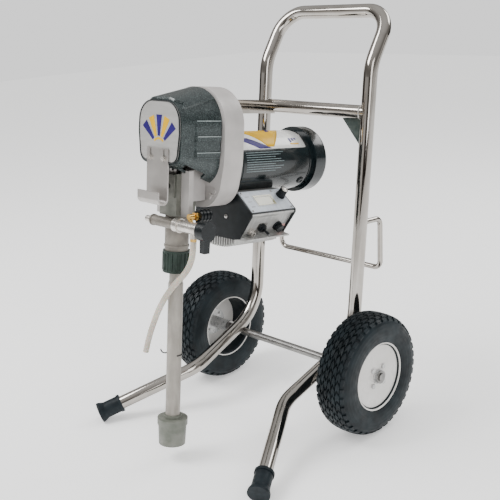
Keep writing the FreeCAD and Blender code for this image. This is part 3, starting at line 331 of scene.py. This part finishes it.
def from_faces(name, verts, faces, material, body="cart", matrix=None, shade=True):
    mesh = bpy.data.meshes.new(name)
    mesh.from_pydata(verts, [], faces)
    work = bmesh.new()
    work.from_mesh(mesh)
    bmesh.ops.recalc_face_normals(work, faces=work.faces)
    work.to_mesh(mesh)
    work.free()
    if shade:
        mesh.polygons.foreach_set("use_smooth", [True] * len(mesh.polygons))
    return place_piece(name, mesh, material, body, matrix)


def scaled(matrix):
    """From millimetres in the sprayer's frame to metres in the cart's."""
    return matrix @ Matrix.Scale(MM, 4)


def rectangle(a0, a1, b0, b1):
    return [(a0, b0), (a1, b0), (a1, b1), (a0, b1)]


def rounded(points, radii, steps=8):
    """A closed 2-D outline with each corner rounded to its own radius."""
    out = []
    count = len(points)
    for i, corner in enumerate(map(Vector, points)):
        before = (Vector(points[i - 1]) - corner).normalized()
        after = (Vector(points[(i + 1) % count]) - corner).normalized()
        half = before.angle(after) / 2
        centre = corner + (before + after).normalized() * (radii[i] / math.sin(half))
        start = corner + before * (radii[i] / math.tan(half)) - centre
        end = corner + after * (radii[i] / math.tan(half)) - centre
        for k in range(steps + 1):
            mix = start.lerp(end, k / steps).normalized() * radii[i]
            out.append(centre + mix)
    return out


def rod(name, points, radius, material, body="cart", closed=False, matrix=None, sides=8):
    """A round bar through the points, as a mesh."""
    pts = [Vector(p) for p in points]
    rings, verts, faces = len(pts), [], []
    normal = None
    for i, p in enumerate(pts):
        ahead = pts[(i + 1) % rings] if closed or i < rings - 1 else p
        behind = pts[i - 1] if closed or i > 0 else p
        along = (ahead - behind).normalized()
        if normal is None:
            normal = along.orthogonal().normalized()
        normal = (normal - along * normal.dot(along)).normalized()
        other = along.cross(normal)
        for k in range(sides):
            turn = 2 * math.pi * k / sides
            verts.append(p + (normal * math.cos(turn) + other * math.sin(turn)) * radius)
    spans = rings if closed else rings - 1
    for i in range(spans):
        for k in range(sides):
            a, b = i * sides + k, i * sides + (k + 1) % sides
            c, d = ((i + 1) % rings) * sides + (k + 1) % sides, ((i + 1) % rings) * sides + k
            faces.append((a, b, c, d))
    if not closed:
        faces += [tuple(range(sides)), tuple((rings - 1) * sides + k for k in range(sides))]
    return from_faces(name, verts, faces, material, body, matrix)


def slab(name, outline, depth0, depth1, material, put, body="cart", edge=0.0):
    """A flat piece from a 2-D outline; put(a, b, depth) gives each point's place."""
    count = len(outline)
    verts = [put(a, b, d) for d in (depth0, depth1) for a, b in outline]
    faces = [tuple(range(count)), tuple(range(count, 2 * count))]
    faces += [(k, (k + 1) % count, count + (k + 1) % count, count + k) for k in range(count)]
    piece = from_faces(name, verts, faces, material, body, shade=False)
    if edge:
        soften(piece, edge)
    return piece


def turned(name, profile, material, body, matrix, sides=48):
    """A turned piece: (radius, height) points, from one end to the other, about its own +Z."""
    verts, faces = [], []
    for r, h in profile:
        for k in range(sides):
            turn = 2 * math.pi * k / sides
            verts.append((r * math.cos(turn), r * math.sin(turn), h))
    for i in range(len(profile) - 1):
        for k in range(sides):
            nxt = (k + 1) % sides
            faces.append((i * sides + k, i * sides + nxt, (i + 1) * sides + nxt, (i + 1) * sides + k))
    faces += [tuple(range(sides)), tuple((len(profile) - 1) * sides + k for k in range(sides))]
    piece = from_faces(name, verts, faces, material, body, scaled(matrix))
    smooth(piece)
    return piece


def frame_at(point, axis):
    """A matrix that carries +Z to axis and the origin to point, both in the cart's frame."""
    return Matrix.Translation(point) @ Vector((0, 0, 1)).rotation_difference(axis).to_matrix().to_4x4()


# ---- the drain hose ----
HOSE_ROUTE = [(84, -28, 504), (84, -28, 479), (76.8, -29, 454), (60.3, -30, 431), (39, -31, 411.5),
              (18, -31, 390), (-2, -31, 365), (-19.5, -31, 337), (-33.5, -32, 305), (-46, -33, 273),
              (-54, -34, 239.5)]
HOSE_LENGTH, HOSE_DIAMETER = 0.3065, 0.0127


def make_drain_hose():
    curve = bpy.data.curves.new("drain_hose_line", "CURVE")
    curve.dimensions = "3D"
    spline = curve.splines.new("NURBS")
    spline.points.add(len(HOSE_ROUTE) - 1)
    for point, (u, v, w) in zip(spline.points, HOSE_ROUTE):
        point.co = (*local(u, v, w), 1.0)
    spline.order_u = 3
    spline.use_endpoint_u = True
    spline.resolution_u = 8
    curve.bevel_depth = HOSE_DIAMETER / 2
    curve.bevel_resolution = 8
    curve.use_fill_caps = True
    curve.materials.append(MATERIALS["hose"])
    hose = bpy.data.objects.new("drain_hose_soft", curve)
    bpy.context.scene.collection.objects.link(hose)
    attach(hose, "cart")
    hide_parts("drain_hose")


make_drain_hose()


# ---- tyres ----
# Half sections of the tyre in millimetres: (distance from the middle plane, radius).
TREAD = [(0, 139.4), (12, 139.0), (22, 137.9), (31, 135.2), (37, 131.0)]
SIDEWALL = [(37, 127.5), (40.5, 122), (42.4, 114), (42.8, 105), (42.2, 96), (40.6, 88), (38.2, 80.5),
            (35.0, 75.0), (32.6, 72.6), (31.2, 72.2)]
TREAD_DEPTH = 4.6
BLOCKS_ROUND = 38
CARCASS_STEPS = 120
# Rows of tread blocks: (one side, other side, lead, sweep), the last two in block spacings.
TREAD_ROWS = ((-19.0, -10.6, 0.0, 0.42), (-9.0, -0.7, 0.45, 0.42), (0.7, 9.0, 0.05, -0.42),
              (10.6, 19.0, 0.5, -0.42), (-30.0, -20.8, 0.5, 0.35), (20.8, 30.0, 0.0, -0.35))
BLOCK_SHARE = 0.72
SHOULDER_IN, SHOULDER_OUT, SHOULDER_SHARE, SHOULDER_LEAD = 31.5, 37.5, 0.62, 0.25


def tread_r(x):
    x = abs(x)
    for (x0, r0), (x1, r1) in zip(TREAD, TREAD[1:]):
        if x <= x1:
            return r0 + (r1 - r0) * (x - x0) / (x1 - x0)
    return TREAD[-1][1]


def carcass_profile():
    half = [(x, r - TREAD_DEPTH) for x, r in TREAD] + SIDEWALL
    return [(-x, r) for x, r in half[:0:-1]] + half


def wheel_point(x, r, turn, centre):
    return Vector((centre.x + x * MM, centre.y + r * MM * math.cos(turn),
                   centre.z + r * MM * math.sin(turn)))


def tread_block(x0, x1, lead, sweep, low, high):
    """One block's outline in (x, turn): its two ends are swept to make the wavy rows."""
    middle = (x0 + x1) / 2
    a = [(x0, low), (middle, low + sweep), (x1, low), (x1, high), (middle, high + sweep), (x0, high)]
    return [(x, turn + lead) for x, turn in a]


def make_tyre(side):
    centre = Vector(JOINTS[side + "_wheel_spin"]["pos_m"])
    verts, faces = [], []
    profile = carcass_profile()
    for k in range(CARCASS_STEPS):
        verts += [wheel_point(x, r, 2 * math.pi * k / CARCASS_STEPS, centre) for x, r in profile]
    width = len(profile)
    for k in range(CARCASS_STEPS):
        a, b = k * width, ((k + 1) % CARCASS_STEPS) * width
        faces += [(a + i, a + i + 1, b + i + 1, b + i) for i in range(width - 1)]
        faces.append((a + width - 1, a, b, b + width - 1))
    step = 2 * math.pi / BLOCKS_ROUND
    shoulder = rectangle(SHOULDER_IN, SHOULDER_OUT, 0, step * SHOULDER_SHARE)
    for k in range(BLOCKS_ROUND):
        for x0, x1, lead, sweep in TREAD_ROWS:
            outline = tread_block(x0, x1, (k + lead) * step, sweep * step, 0.0, step * BLOCK_SHARE)
            add_block(verts, faces, outline, centre)
        for way in (-1, 1):
            outline = [(way * x, turn + (k + SHOULDER_LEAD * way) * step) for x, turn in shoulder]
            add_block(verts, faces, outline, centre)
    piece = from_faces("tyre_tread_" + side, verts, faces, "tyre", side + "_wheel", shade=False)
    smooth(piece, math.radians(28))
    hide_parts("tyre_" + side)


def add_block(verts, faces, outline, centre):
    """A tread block with a narrower top; its foot is sunk a little into the carcass."""
    start, count = len(verts), len(outline)
    mid_x = sum(x for x, _ in outline) / count
    mid_t = sum(t for _, t in outline) / count
    for drop, shrink in ((TREAD_DEPTH + 0.5, 1.0), (0.7, 1.0), (0.0, 0.86)):
        for x, turn in outline:
            px, pt = mid_x + (x - mid_x) * shrink, mid_t + (turn - mid_t) * shrink
            verts.append(wheel_point(px, tread_r(px) - drop, pt, centre))
    for ring in range(2):
        a, b = start + ring * count, start + (ring + 1) * count
        faces += [(a + i, a + (i + 1) % count, b + (i + 1) % count, b + i) for i in range(count)]
    faces.append(tuple(start + 2 * count + i for i in range(count)))
    faces.append(tuple(start + i for i in reversed(range(count))))


for wheel in ("left", "right"):
    make_tyre(wheel)


# ---- front plate, emblem and cover mouldings ----
PLATE_POINTS = [(-60, 777), (60, 777), (63, 715), (56, 657), (-56, 657), (-63, 715)]
PLATE_RADII = [40, 40, 60, 20, 20, 60]


def on_plate(u, w, lift):
    return local(u, PLATE_V - lift, w)


def make_plate_trim():
    outline = rounded(PLATE_POINTS, PLATE_RADII, 10)
    rod("plate_edge_gasket", [on_plate(u, w, 0.1) for u, w in outline], 1.5 * MM, "plastic",
        closed=True)


FAN_TIP_W, FAN_BARS, FAN_STEP, BAR_HALF = 684.0, 5, 22.0, 7.5
BAR_START, BAR_END, ARC_IN, ARC_OUT = 24.0, 66.0, 17, 21
INK_LIFT = 0.35


def fan_point(r, degrees):
    turn = math.radians(degrees)
    return (r * math.sin(turn), FAN_TIP_W + r * math.cos(turn))


def make_emblem():
    """A plain spray fan: five bars that spread from one point, with an arc below them."""
    for k in range(FAN_BARS):
        turn = FAN_STEP * (k - (FAN_BARS - 1) / 2)
        outline = [fan_point(r, turn + s * BAR_HALF)
                   for s, r in ((-1, BAR_START), (1, BAR_START), (1, BAR_END), (-1, BAR_END))]
        colour = "navy" if k % 2 == 0 else "gold"
        slab("emblem_bar_%d" % (k + 1), outline, 0.0, INK_LIFT, colour, on_plate)
    band = [fan_point(r, t)
            for r, turns in ((ARC_IN, range(-46, 47, 4)), (ARC_OUT, range(46, -47, -4))) for t in turns]
    slab("emblem_arc", band, 0.0, INK_LIFT, "gold", on_plate)


def surface_of(node):
    mesh = frame["nodes"][node].data
    return BVHTree.FromPolygons([v.co for v in mesh.vertices], [p.vertices for p in mesh.polygons])


COVER = surface_of("front_cover")
RAY_START = 0.3         # metres back from the cover, where each ray starts
RIM_SINK = -0.6         # a moulding's rim lies this far under the cover's surface


def towards(direction):
    return (ALONG_U * direction[0] + ALONG_V * direction[1] + ALONG_W * direction[2]).normalized()


def drape(points, direction, lift):
    """Points carried onto the cover along a direction in the sprayer's frame, then lifted off it."""
    way = towards(direction)
    found = []
    for u, v, w in points:
        hit = COVER.ray_cast(local(u, v, w) - way * RAY_START, way)
        if hit[0] is not None:
            found.append(hit[0] - way * lift * MM)
    return found


def draped_pad(name, columns, rows, spot, direction, height):
    """A raised moulding: a grid laid on the cover, lifted by height(i, j), with its rim sunk in."""
    way = towards(direction)
    verts, faces = [], []
    for i in range(rows + 1):
        for j in range(columns + 1):
            start = local(*spot(i / rows, j / columns)) - way * RAY_START
            hit, normal, _, _ = COVER.ray_cast(start, way)
            if hit is None:
                hit, normal, _, _ = COVER.find_nearest(start)
            outward = normal if normal.dot(way) < 0 else -normal
            rim = i in (0, rows) or j in (0, columns)
            verts.append(hit + outward * (RIM_SINK if rim else height(i / rows, j / columns)) * MM)
    for i in range(rows):
        for j in range(columns):
            a = i * (columns + 1) + j
            faces.append((a, a + 1, a + columns + 2, a + columns + 1))
    piece = from_faces(name, verts, faces, "hammered", shade=False)
    smooth(piece, math.radians(24))


PAD_TOP, PAD_LOW, PAD_FRONT, PAD_LENGTH = 742.0, 664.0, -20, 65
RAISED_BANDS = ((701.0, 711.0), (670.0, 679.0))
PAD_LIFT, BAND_LIFT, HOOD_LIFT = 2.8, 5.4, 3.6
RIDGES = ((741.0, 2.6), (710.5, 5.2), (678.5, 5.2))     # (level, lift off the cover)


def pad_level(down):
    return PAD_TOP + (PAD_LOW - PAD_TOP) * down


def side_height(down, _):
    level = pad_level(down)
    return BAND_LIFT if any(low <= level <= high for low, high in RAISED_BANDS) else PAD_LIFT


def make_cover_mouldings():
    for side, name in ((-1, "left"), (1, "right")):
        draped_pad("cover_side_panel_" + name, 14, 78,
                   lambda i, j: (side * 60, PAD_FRONT + PAD_LENGTH * j, pad_level(i)),
                   (-side, 0, 0), side_height)
        for k, (level, lift) in enumerate(RIDGES):
            line = [(side * 60, v, level) for v in range(-16, 44, 3)]
            path = drape(line, (-side, 0, 0), lift)
            # each ridge rod is a pale line along a moulding's top edge: a painted highlight, not a real
            # strip
            rod("cover_ridge_%s_%d" % (name, k + 1), path, 0.9 * MM, "ridge")
    draped_pad("cover_hood", 72, 30, hood_spot, (0, 0, -1), lambda i, j: HOOD_LIFT)


HOOD_HALF, HOOD_FRONT, HOOD_BACK, HOOD_BELOW_W = 57.0, -46.5, 44.0, 700.0
NOTCH_START, NOTCH_DEEPEST, NOTCH_IN, NOTCH_OUT = 36, 47, 1.2, 0.9


def hood_front(u):
    """How far forward the hood reaches: it has a V notch near each front corner."""
    u = abs(u)
    if u < NOTCH_START:
        return HOOD_FRONT
    if u < NOTCH_DEEPEST:
        return HOOD_FRONT + (u - NOTCH_START) * NOTCH_IN
    return HOOD_FRONT + (NOTCH_DEEPEST - NOTCH_START) * NOTCH_IN - (u - NOTCH_DEEPEST) * NOTCH_OUT


def hood_spot(along, across):
    u = HOOD_HALF * (2 * across - 1)
    front = hood_front(u)
    return (u, front + (HOOD_BACK - front) * along, HOOD_BELOW_W)


make_plate_trim()
make_emblem()
make_cover_mouldings()


# ---- motor label, drawn as thin films on the can ----
def film(name, edge0, edge1, angles, material, lift=0.25):
    """A thin sheet round the can: v runs from edge0 to edge1 and each edge is (v at start, v at end)."""
    steps, columns = 14, 6
    verts, faces = [], []
    for layer in (0.0, lift):
        for i in range(steps + 1):
            mix = i / steps
            turn = math.radians(angles[0] + (angles[1] - angles[0]) * mix)
            v0 = edge0[0] + (edge0[1] - edge0[0]) * mix
            v1 = edge1[0] + (edge1[1] - edge1[0]) * mix
            for c in range(columns + 1):
                r = MOTOR_R + layer
                verts.append(local(r * math.cos(turn), v0 + (v1 - v0) * c / columns,
                                   MOTOR_W + r * math.sin(turn)))
    width, size = columns + 1, (steps + 1) * (columns + 1)
    for layer in range(2):
        for i in range(steps):
            for c in range(columns):
                a = layer * size + i * width + c
                faces.append((a, a + 1, a + width + 1, a + width))
    rim = list(range(width)) + [i * width + columns for i in range(1, steps + 1)]
    rim += [steps * width + c for c in range(columns - 1, -1, -1)]
    rim += [i * width for i in range(steps - 1, 0, -1)]
    for k, a in enumerate(rim):
        b = rim[(k + 1) % len(rim)]
        faces.append((a, b, b + size, a + size))
    return from_faces(name, verts, faces, material)


INK, RATING_LINES, RATING_TOP, RATING_STEP, RATING_THICK = 0.42, 9, 23, 4.3, 1.3


def make_motor_label():
    film("label_ground", (112, 112), (324, 324), (30, 128), "white", 0.2)
    film("label_gold_field", (205, 112), (224, 318), (34, 118), "gold", 0.3)
    film("label_navy_bar", (178, 118), (215, 155), (31, 56), "navy", INK)
    film("label_navy_bar_upper", (236, 262), (248, 276), (78, 112), "navy", INK)
    for k in range(3):
        film("label_mark_%d" % (k + 1), (280 + 9 * k,) * 2, (286 + 9 * k,) * 2, (42 + 3 * k, 52),
             "navy", INK)
    film("label_mark_base", (279, 279), (306, 306), (37, 40), "gold", INK)
    for k in range(RATING_LINES):
        level = RATING_TOP - RATING_STEP * k
        end = 246 - (26 if k % 3 == 2 else 9 * (k % 2))
        film("rating_line_%d" % (k + 1), (132, 132), (end, end), (level, level + RATING_THICK),
             "dim_ink", 0.18)


make_motor_label()


def make_motor_details():
    for k, turn in enumerate((-62, 62, 118, 242)):
        angle = math.radians(turn)
        spot = local(58 * math.cos(angle), 385, MOTOR_W + 58 * math.sin(angle))
        turned("rear_cap_screw_%d" % (k + 1), [(4.5, -1.0), (4.5, 1.2), (3.2, 2.4)], "steel",
               "cart", frame_at(spot, ALONG_V), 20)
    brush = math.radians(-38)
    spot = local(66 * math.cos(brush), 316, MOTOR_W + 66 * math.sin(brush))
    out = ALONG_U * math.cos(brush) + ALONG_W * math.sin(brush)
    turned("brush_cap", [(9, -2), (9, 2.5), (7.5, 4), (4, 4), (4, 3)], "plastic", "cart",
           frame_at(spot, out), 28)


make_motor_details()


# ---- gear housing details ----
def make_housing_details():
    for number, u in ((3, -52), (4, 52)):
        turned("housing_screw_%d" % number, [(4.2, 0), (4.2, 2.0), (3.0, 3.2)], "nickel", "cart",
               frame_at(local(u, 44.5, 588), -ALONG_V), 20)
    for side in (-1, 1):
        outline = [(side * 50, 590), (side * 60, 590), (side * 51, 579)]
        slab("housing_web_%s" % ("right" if side > 0 else "left"), outline, -46.0, -40.0, "casting",
             lambda a, b, d: local(a, -d, b), edge=0.8)


make_housing_details()


# ---- control box details ----
PANEL_LOW, PANEL_HIGH = Vector((109.0, 551.0)), Vector((62.0, 590.0))
PANEL_T = 2.0


def on_panel(v, up, out):
    slope = (PANEL_HIGH - PANEL_LOW).normalized()
    normal = Vector((slope.y, -slope.x))
    spot = PANEL_LOW + slope * up + normal * (PANEL_T + out)
    return local(spot.x, v, spot.y)


PANEL_OUT = (on_panel(0, 0, 1) - on_panel(0, 0, 0)).normalized()


def make_panel_details():
    slab("lcd_bezel_edge", rounded(rectangle(139, 199, 15.5, 48.5), [3] * 4, 4), 0.0, 0.5,
         "frame_grey", on_panel)
    glass = rounded(rectangle(147.5, 190.5, 23, 41), [1.5] * 4, 4)
    slab("lcd_display", glass, 0.1, 0.6, "lcd", on_panel)
    line = rounded(rectangle(144.5, 193.5, 20.5, 43.5), [2] * 4, 4)
    rod("lcd_line", [on_panel(a, b, 0.55) for a, b in line], 0.7 * MM, "endplate", closed=True)
    for k in range(3):
        mark = rectangle(120, 131, 16 + 14 * k, 18 + 14 * k)
        slab("panel_mark_%d" % (k + 1), mark, 0.0, 0.2, "grey_ink", on_panel)
    for k in range(9):
        turn = math.radians(-120 + 30 * k)
        spot = on_panel(224 + 15 * math.sin(turn), 40 + 15 * math.cos(turn), 0.05)
        turned("dial_tick_%d" % (k + 1), [(0.9, 0), (0.9, 0.25)], "grey_ink", "cart",
               frame_at(spot, PANEL_OUT), 10)
    for k, (v, up) in enumerate(((116, 6), (116, 55), (234, 6), (205, 55))):
        turned("panel_screw_%d" % (k + 1), [(2.6, 0), (2.6, 0.8), (1.7, 1.5)], "steel", "cart",
               frame_at(on_panel(v, up, 0), PANEL_OUT), 16)
    cap = [(7.9, 19.6), (7.9, 20.6), (6.6, 21.6), (0.4, 21.6)]
    turned("pressure_knob_cap", cap, "nickel", "pressure_control",
           frame_at(on_panel(224, 40, 0), PANEL_OUT), 32)
    edge = rectangle(108, 242, -1.2, 1.6)
    slab("panel_lower_edge", edge, -3.6, 0.7, "endplate", on_panel, edge=0.5)


def make_end_plate_details():
    for v, way, name in ((107.0, -1, "front"), (243.0, 1, "rear")):
        for k, (u, w) in enumerate(((34, 536), (-44, 506))):
            spot = local(u, v, w)
            turned("end_plate_screw_%s_%d" % (name, k + 1), [(4.6, -0.5), (4.6, 1.2), (3.0, 2.6)],
                   "steel", "cart", frame_at(spot, ALONG_V * way), 20)


SIDE_LOW, SIDE_HIGH = Vector((74.0, 498.0)), Vector((101.0, 540.0))


def on_side(v, up, out):
    slope = (SIDE_HIGH - SIDE_LOW).normalized()
    normal = Vector((slope.y, -slope.x))
    spot = SIDE_LOW + slope * up + normal * out
    return local(spot.x, v, spot.y)


SIDE_OUT = (on_side(0, 0, 1) - on_side(0, 0, 0)).normalized()


FUSE_V, FUSE_UP, FUSE_R, FUSE_GRIPS = 212, 20, 9.0, 20
FUSE_GRIP_START, FUSE_GRIP_LENGTH = 4.0, 9.5


def make_side_details():
    slab("fuse_label", rounded(rectangle(222, 238.5, 3, 22), [1.5] * 4, 3), 0.0, 0.25, "pink", on_side)
    for k in range(FUSE_GRIPS):
        turn = 2 * math.pi * k / FUSE_GRIPS
        spot = on_side(FUSE_V + FUSE_R * math.cos(turn), FUSE_UP + FUSE_R * math.sin(turn),
                       FUSE_GRIP_START)
        rod("fuse_knob_grip_%d" % (k + 1), [spot, spot + SIDE_OUT * FUSE_GRIP_LENGTH * MM], 0.8 * MM,
            "plastic", sides=6)
    slab("toggle_plate", rounded(rectangle(150, 178, 8, 32), [3] * 4, 4), 0.0, 0.8, "steel", on_side)


make_panel_details()
make_end_plate_details()
make_side_details()


# ---- siphon clip, nut ribs and welds ----
CLIP_W, CLIP_R = 242.0, 17.2
NUT_RIBS, NUT_RIB_R, NUT_LOW_W, NUT_HIGH_W = 18, 28.2, 428, 466
WELD_X, WELD_R, WELD_BEAD, WELD_STEPS = 0.1445, 0.0162, 0.0019, 48


def make_siphon_clip():
    """A sprung wire clip round the back of the siphon tube, with a small hook at its end."""
    ring = [local(CLIP_R * math.cos(math.radians(t)), CLIP_R * math.sin(math.radians(t)), CLIP_W)
            for t in range(-20, 201, 10)]
    rod("siphon_clip_ring", ring, 1.2 * MM, "plastic")
    hook = [(-16, -6, CLIP_W), (-20, -8, CLIP_W - 2), (-25, -10, CLIP_W - 2), (-29, -11, CLIP_W),
            (-31, -12, CLIP_W + 5)]
    rod("siphon_clip_hook", [local(*p) for p in hook], 1.5 * MM, "plastic")


def make_nut_ribs():
    for k in range(NUT_RIBS):
        turn = 2 * math.pi * k / NUT_RIBS
        spot = (NUT_RIB_R * math.cos(turn), NUT_RIB_R * math.sin(turn))
        ends = [local(*spot, w) for w in (NUT_LOW_W, NUT_HIGH_W)]
        rod("coupling_nut_rib_%d" % (k + 1), ends, 1.7 * MM, "nut")


def weld_ring(name, centre, axis):
    """A bead round a tube's end, with a slight ripple."""
    side = axis.orthogonal().normalized()
    other = axis.cross(side)
    path = []
    for k in range(WELD_STEPS + 1):
        turn = math.radians(360.0 * k / WELD_STEPS)
        ripple = 1 + 0.012 * math.sin(k * 2.4)
        path.append(centre + (side * math.cos(turn) + other * math.sin(turn)) * WELD_R * ripple)
    rod(name, path, WELD_BEAD, "weld")


def make_welds():
    low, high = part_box("cross_tube")
    mid_y, mid_z = (low.y + high.y) / 2, (low.z + high.z) / 2
    for x, name in ((-WELD_X, "left"), (WELD_X, "right")):
        weld_ring("cross_tube_weld_" + name, Vector((x, mid_y, mid_z)), ALONG_U)


make_siphon_clip()
make_nut_ribs()
make_welds()


# ---- stage ----
def studio_material(name, colour, rough, glow=0.0):
    material = bpy.data.materials.new(name)
    material.use_nodes = True
    shader = material.node_tree.nodes["Principled BSDF"]
    shader.inputs["Base Color"].default_value = (*colour, 1)
    shader.inputs["Roughness"].default_value = rough
    shader.inputs["Emission Color"].default_value = (*colour, 1)
    shader.inputs["Emission Strength"].default_value = glow
    return material


FLOOR_HALF = 9.0


def make_stage():
    mesh = bpy.data.meshes.new("floor")
    corners = [(x, y, 0) for x, y in rectangle(-FLOOR_HALF, FLOOR_HALF, -FLOOR_HALF, FLOOR_HALF)]
    mesh.from_pydata(corners, [], [(0, 1, 2, 3)])
    mesh.materials.append(studio_material("floor", (0.94, 0.94, 0.935), 0.75, 0.42))
    floor = bpy.data.objects.new("floor", mesh)
    bpy.context.scene.collection.objects.link(floor)


def area_light(name, place, size, power, target=(0, 0, 0.45)):
    light = bpy.data.lights.new(name, "AREA")
    light.shape = "RECTANGLE"
    light.size, light.size_y = size
    light.energy = power
    lamp = bpy.data.objects.new(name, light)
    lamp.location = place
    lamp.rotation_euler = (Vector(target) - Vector(place)).to_track_quat("-Z", "Y").to_euler()
    bpy.context.scene.collection.objects.link(lamp)


# ---- world ----
def ramp_node(tree, factor, stops):
    ramp = tree.nodes.new("ShaderNodeValToRGB")
    elements = ramp.color_ramp.elements
    first, last = stops[0], stops[-1]
    elements[0].position, elements[0].color = first[0], (*first[1], 1)
    elements[1].position, elements[1].color = last[0], (*last[1], 1)
    for position, colour in stops[1:-1]:
        elements.new(position).color = (*colour, 1)
    tree.links.new(factor, ramp.inputs["Fac"])
    return ramp.outputs["Color"]


def math_node(tree, operation, *values):
    node = tree.nodes.new("ShaderNodeMath")
    node.operation = operation
    for socket, value in zip(node.inputs, values):
        if isinstance(value, float):
            socket.default_value = value
        else:
            tree.links.new(value, socket)
    return node.outputs[0]


def from_signed(tree, value):
    """Carries -1 to 1 over to 0 to 1."""
    node = tree.nodes.new("ShaderNodeMapRange")
    node.inputs["From Min"].default_value = -1.0
    tree.links.new(value, node.inputs["Value"])
    return node.outputs["Result"]


def mix_colours(tree, factor, a, b):
    """a where factor is 0 and b where it is 1; each is a socket or a plain colour."""
    node = tree.nodes.new("ShaderNodeMix")
    node.data_type = "RGBA"
    tree.links.new(factor, node.inputs["Factor"])
    for name, colour in (("A", a), ("B", b)):
        if isinstance(colour, tuple):
            node.inputs[name].default_value = colour
        else:
            tree.links.new(colour, node.inputs[name])
    return node.outputs["Result"]


# Colours round the room by bearing, and by height from straight down (0) to straight up (1).
SCREENS = ((0.0, (0.03, 0.025, 0.02)), (0.36, (0.06, 0.05, 0.042)), (0.5, (0.75, 0.72, 0.69)),
           (0.7, (1.0, 0.98, 0.96)), (1.0, (1, 1, 1)))
OVERHEAD = ((0.0, (0.30, 0.29, 0.28)), (0.66, (0.30, 0.29, 0.28)), (0.78, (0.62, 0.61, 0.60)),
            (1.0, (1.0, 1.0, 1.0)))
SCREEN_HEIGHT = ((0.0, (1, 1, 1)), (0.5, (1, 1, 1)), (0.62, (0, 0, 0)), (1.0, (0, 0, 0)))
SOFT_SKY = ((0.0, (0.16,) * 3), (0.48, (0.30,) * 3), (0.62, (0.62,) * 3), (1.0, (1.5,) * 3))
BACKDROP = (1.35, 1.35, 1.35, 1)
SCREEN_COUNT, SCREEN_TURN = 3.0, 0.9


def make_world():
    """A pale room for the eye and for soft light; polished tube sees dark screens round it instead."""
    world = bpy.data.worlds.new("studio")
    world.use_nodes = True
    bpy.context.scene.world = world
    tree = world.node_tree
    place = tree.nodes.new("ShaderNodeTexCoord")
    split = tree.nodes.new("ShaderNodeSeparateXYZ")
    tree.links.new(place.outputs["Generated"], split.inputs["Vector"])
    x, y, z = split.outputs
    bearing = math_node(tree, "ARCTAN2", y, x)
    wave = math_node(tree, "SINE", math_node(tree, "MULTIPLY_ADD", bearing, SCREEN_COUNT, SCREEN_TURN))
    height = from_signed(tree, z)
    screens = ramp_node(tree, from_signed(tree, wave), SCREENS)
    mirrored = mix_colours(tree, ramp_node(tree, height, SCREEN_HEIGHT),
                           ramp_node(tree, height, OVERHEAD), screens)
    ray = tree.nodes.new("ShaderNodeLightPath").outputs
    plain = mix_colours(tree, ray["Is Camera Ray"], ramp_node(tree, height, SOFT_SKY), BACKDROP)
    background = tree.nodes["Background"]
    tree.links.new(mix_colours(tree, ray["Is Glossy Ray"], plain, mirrored), background.inputs["Color"])
    background.inputs["Strength"].default_value = 0.9


make_stage()
make_world()
area_light("key", (-1.4, -1.8, 3.0), (1.6, 1.6), 100)
area_light("fill", (2.6, -1.6, 1.6), (1.2, 2.0), 26)
area_light("back", (0.6, 2.6, 2.4), (2.0, 1.0), 36)
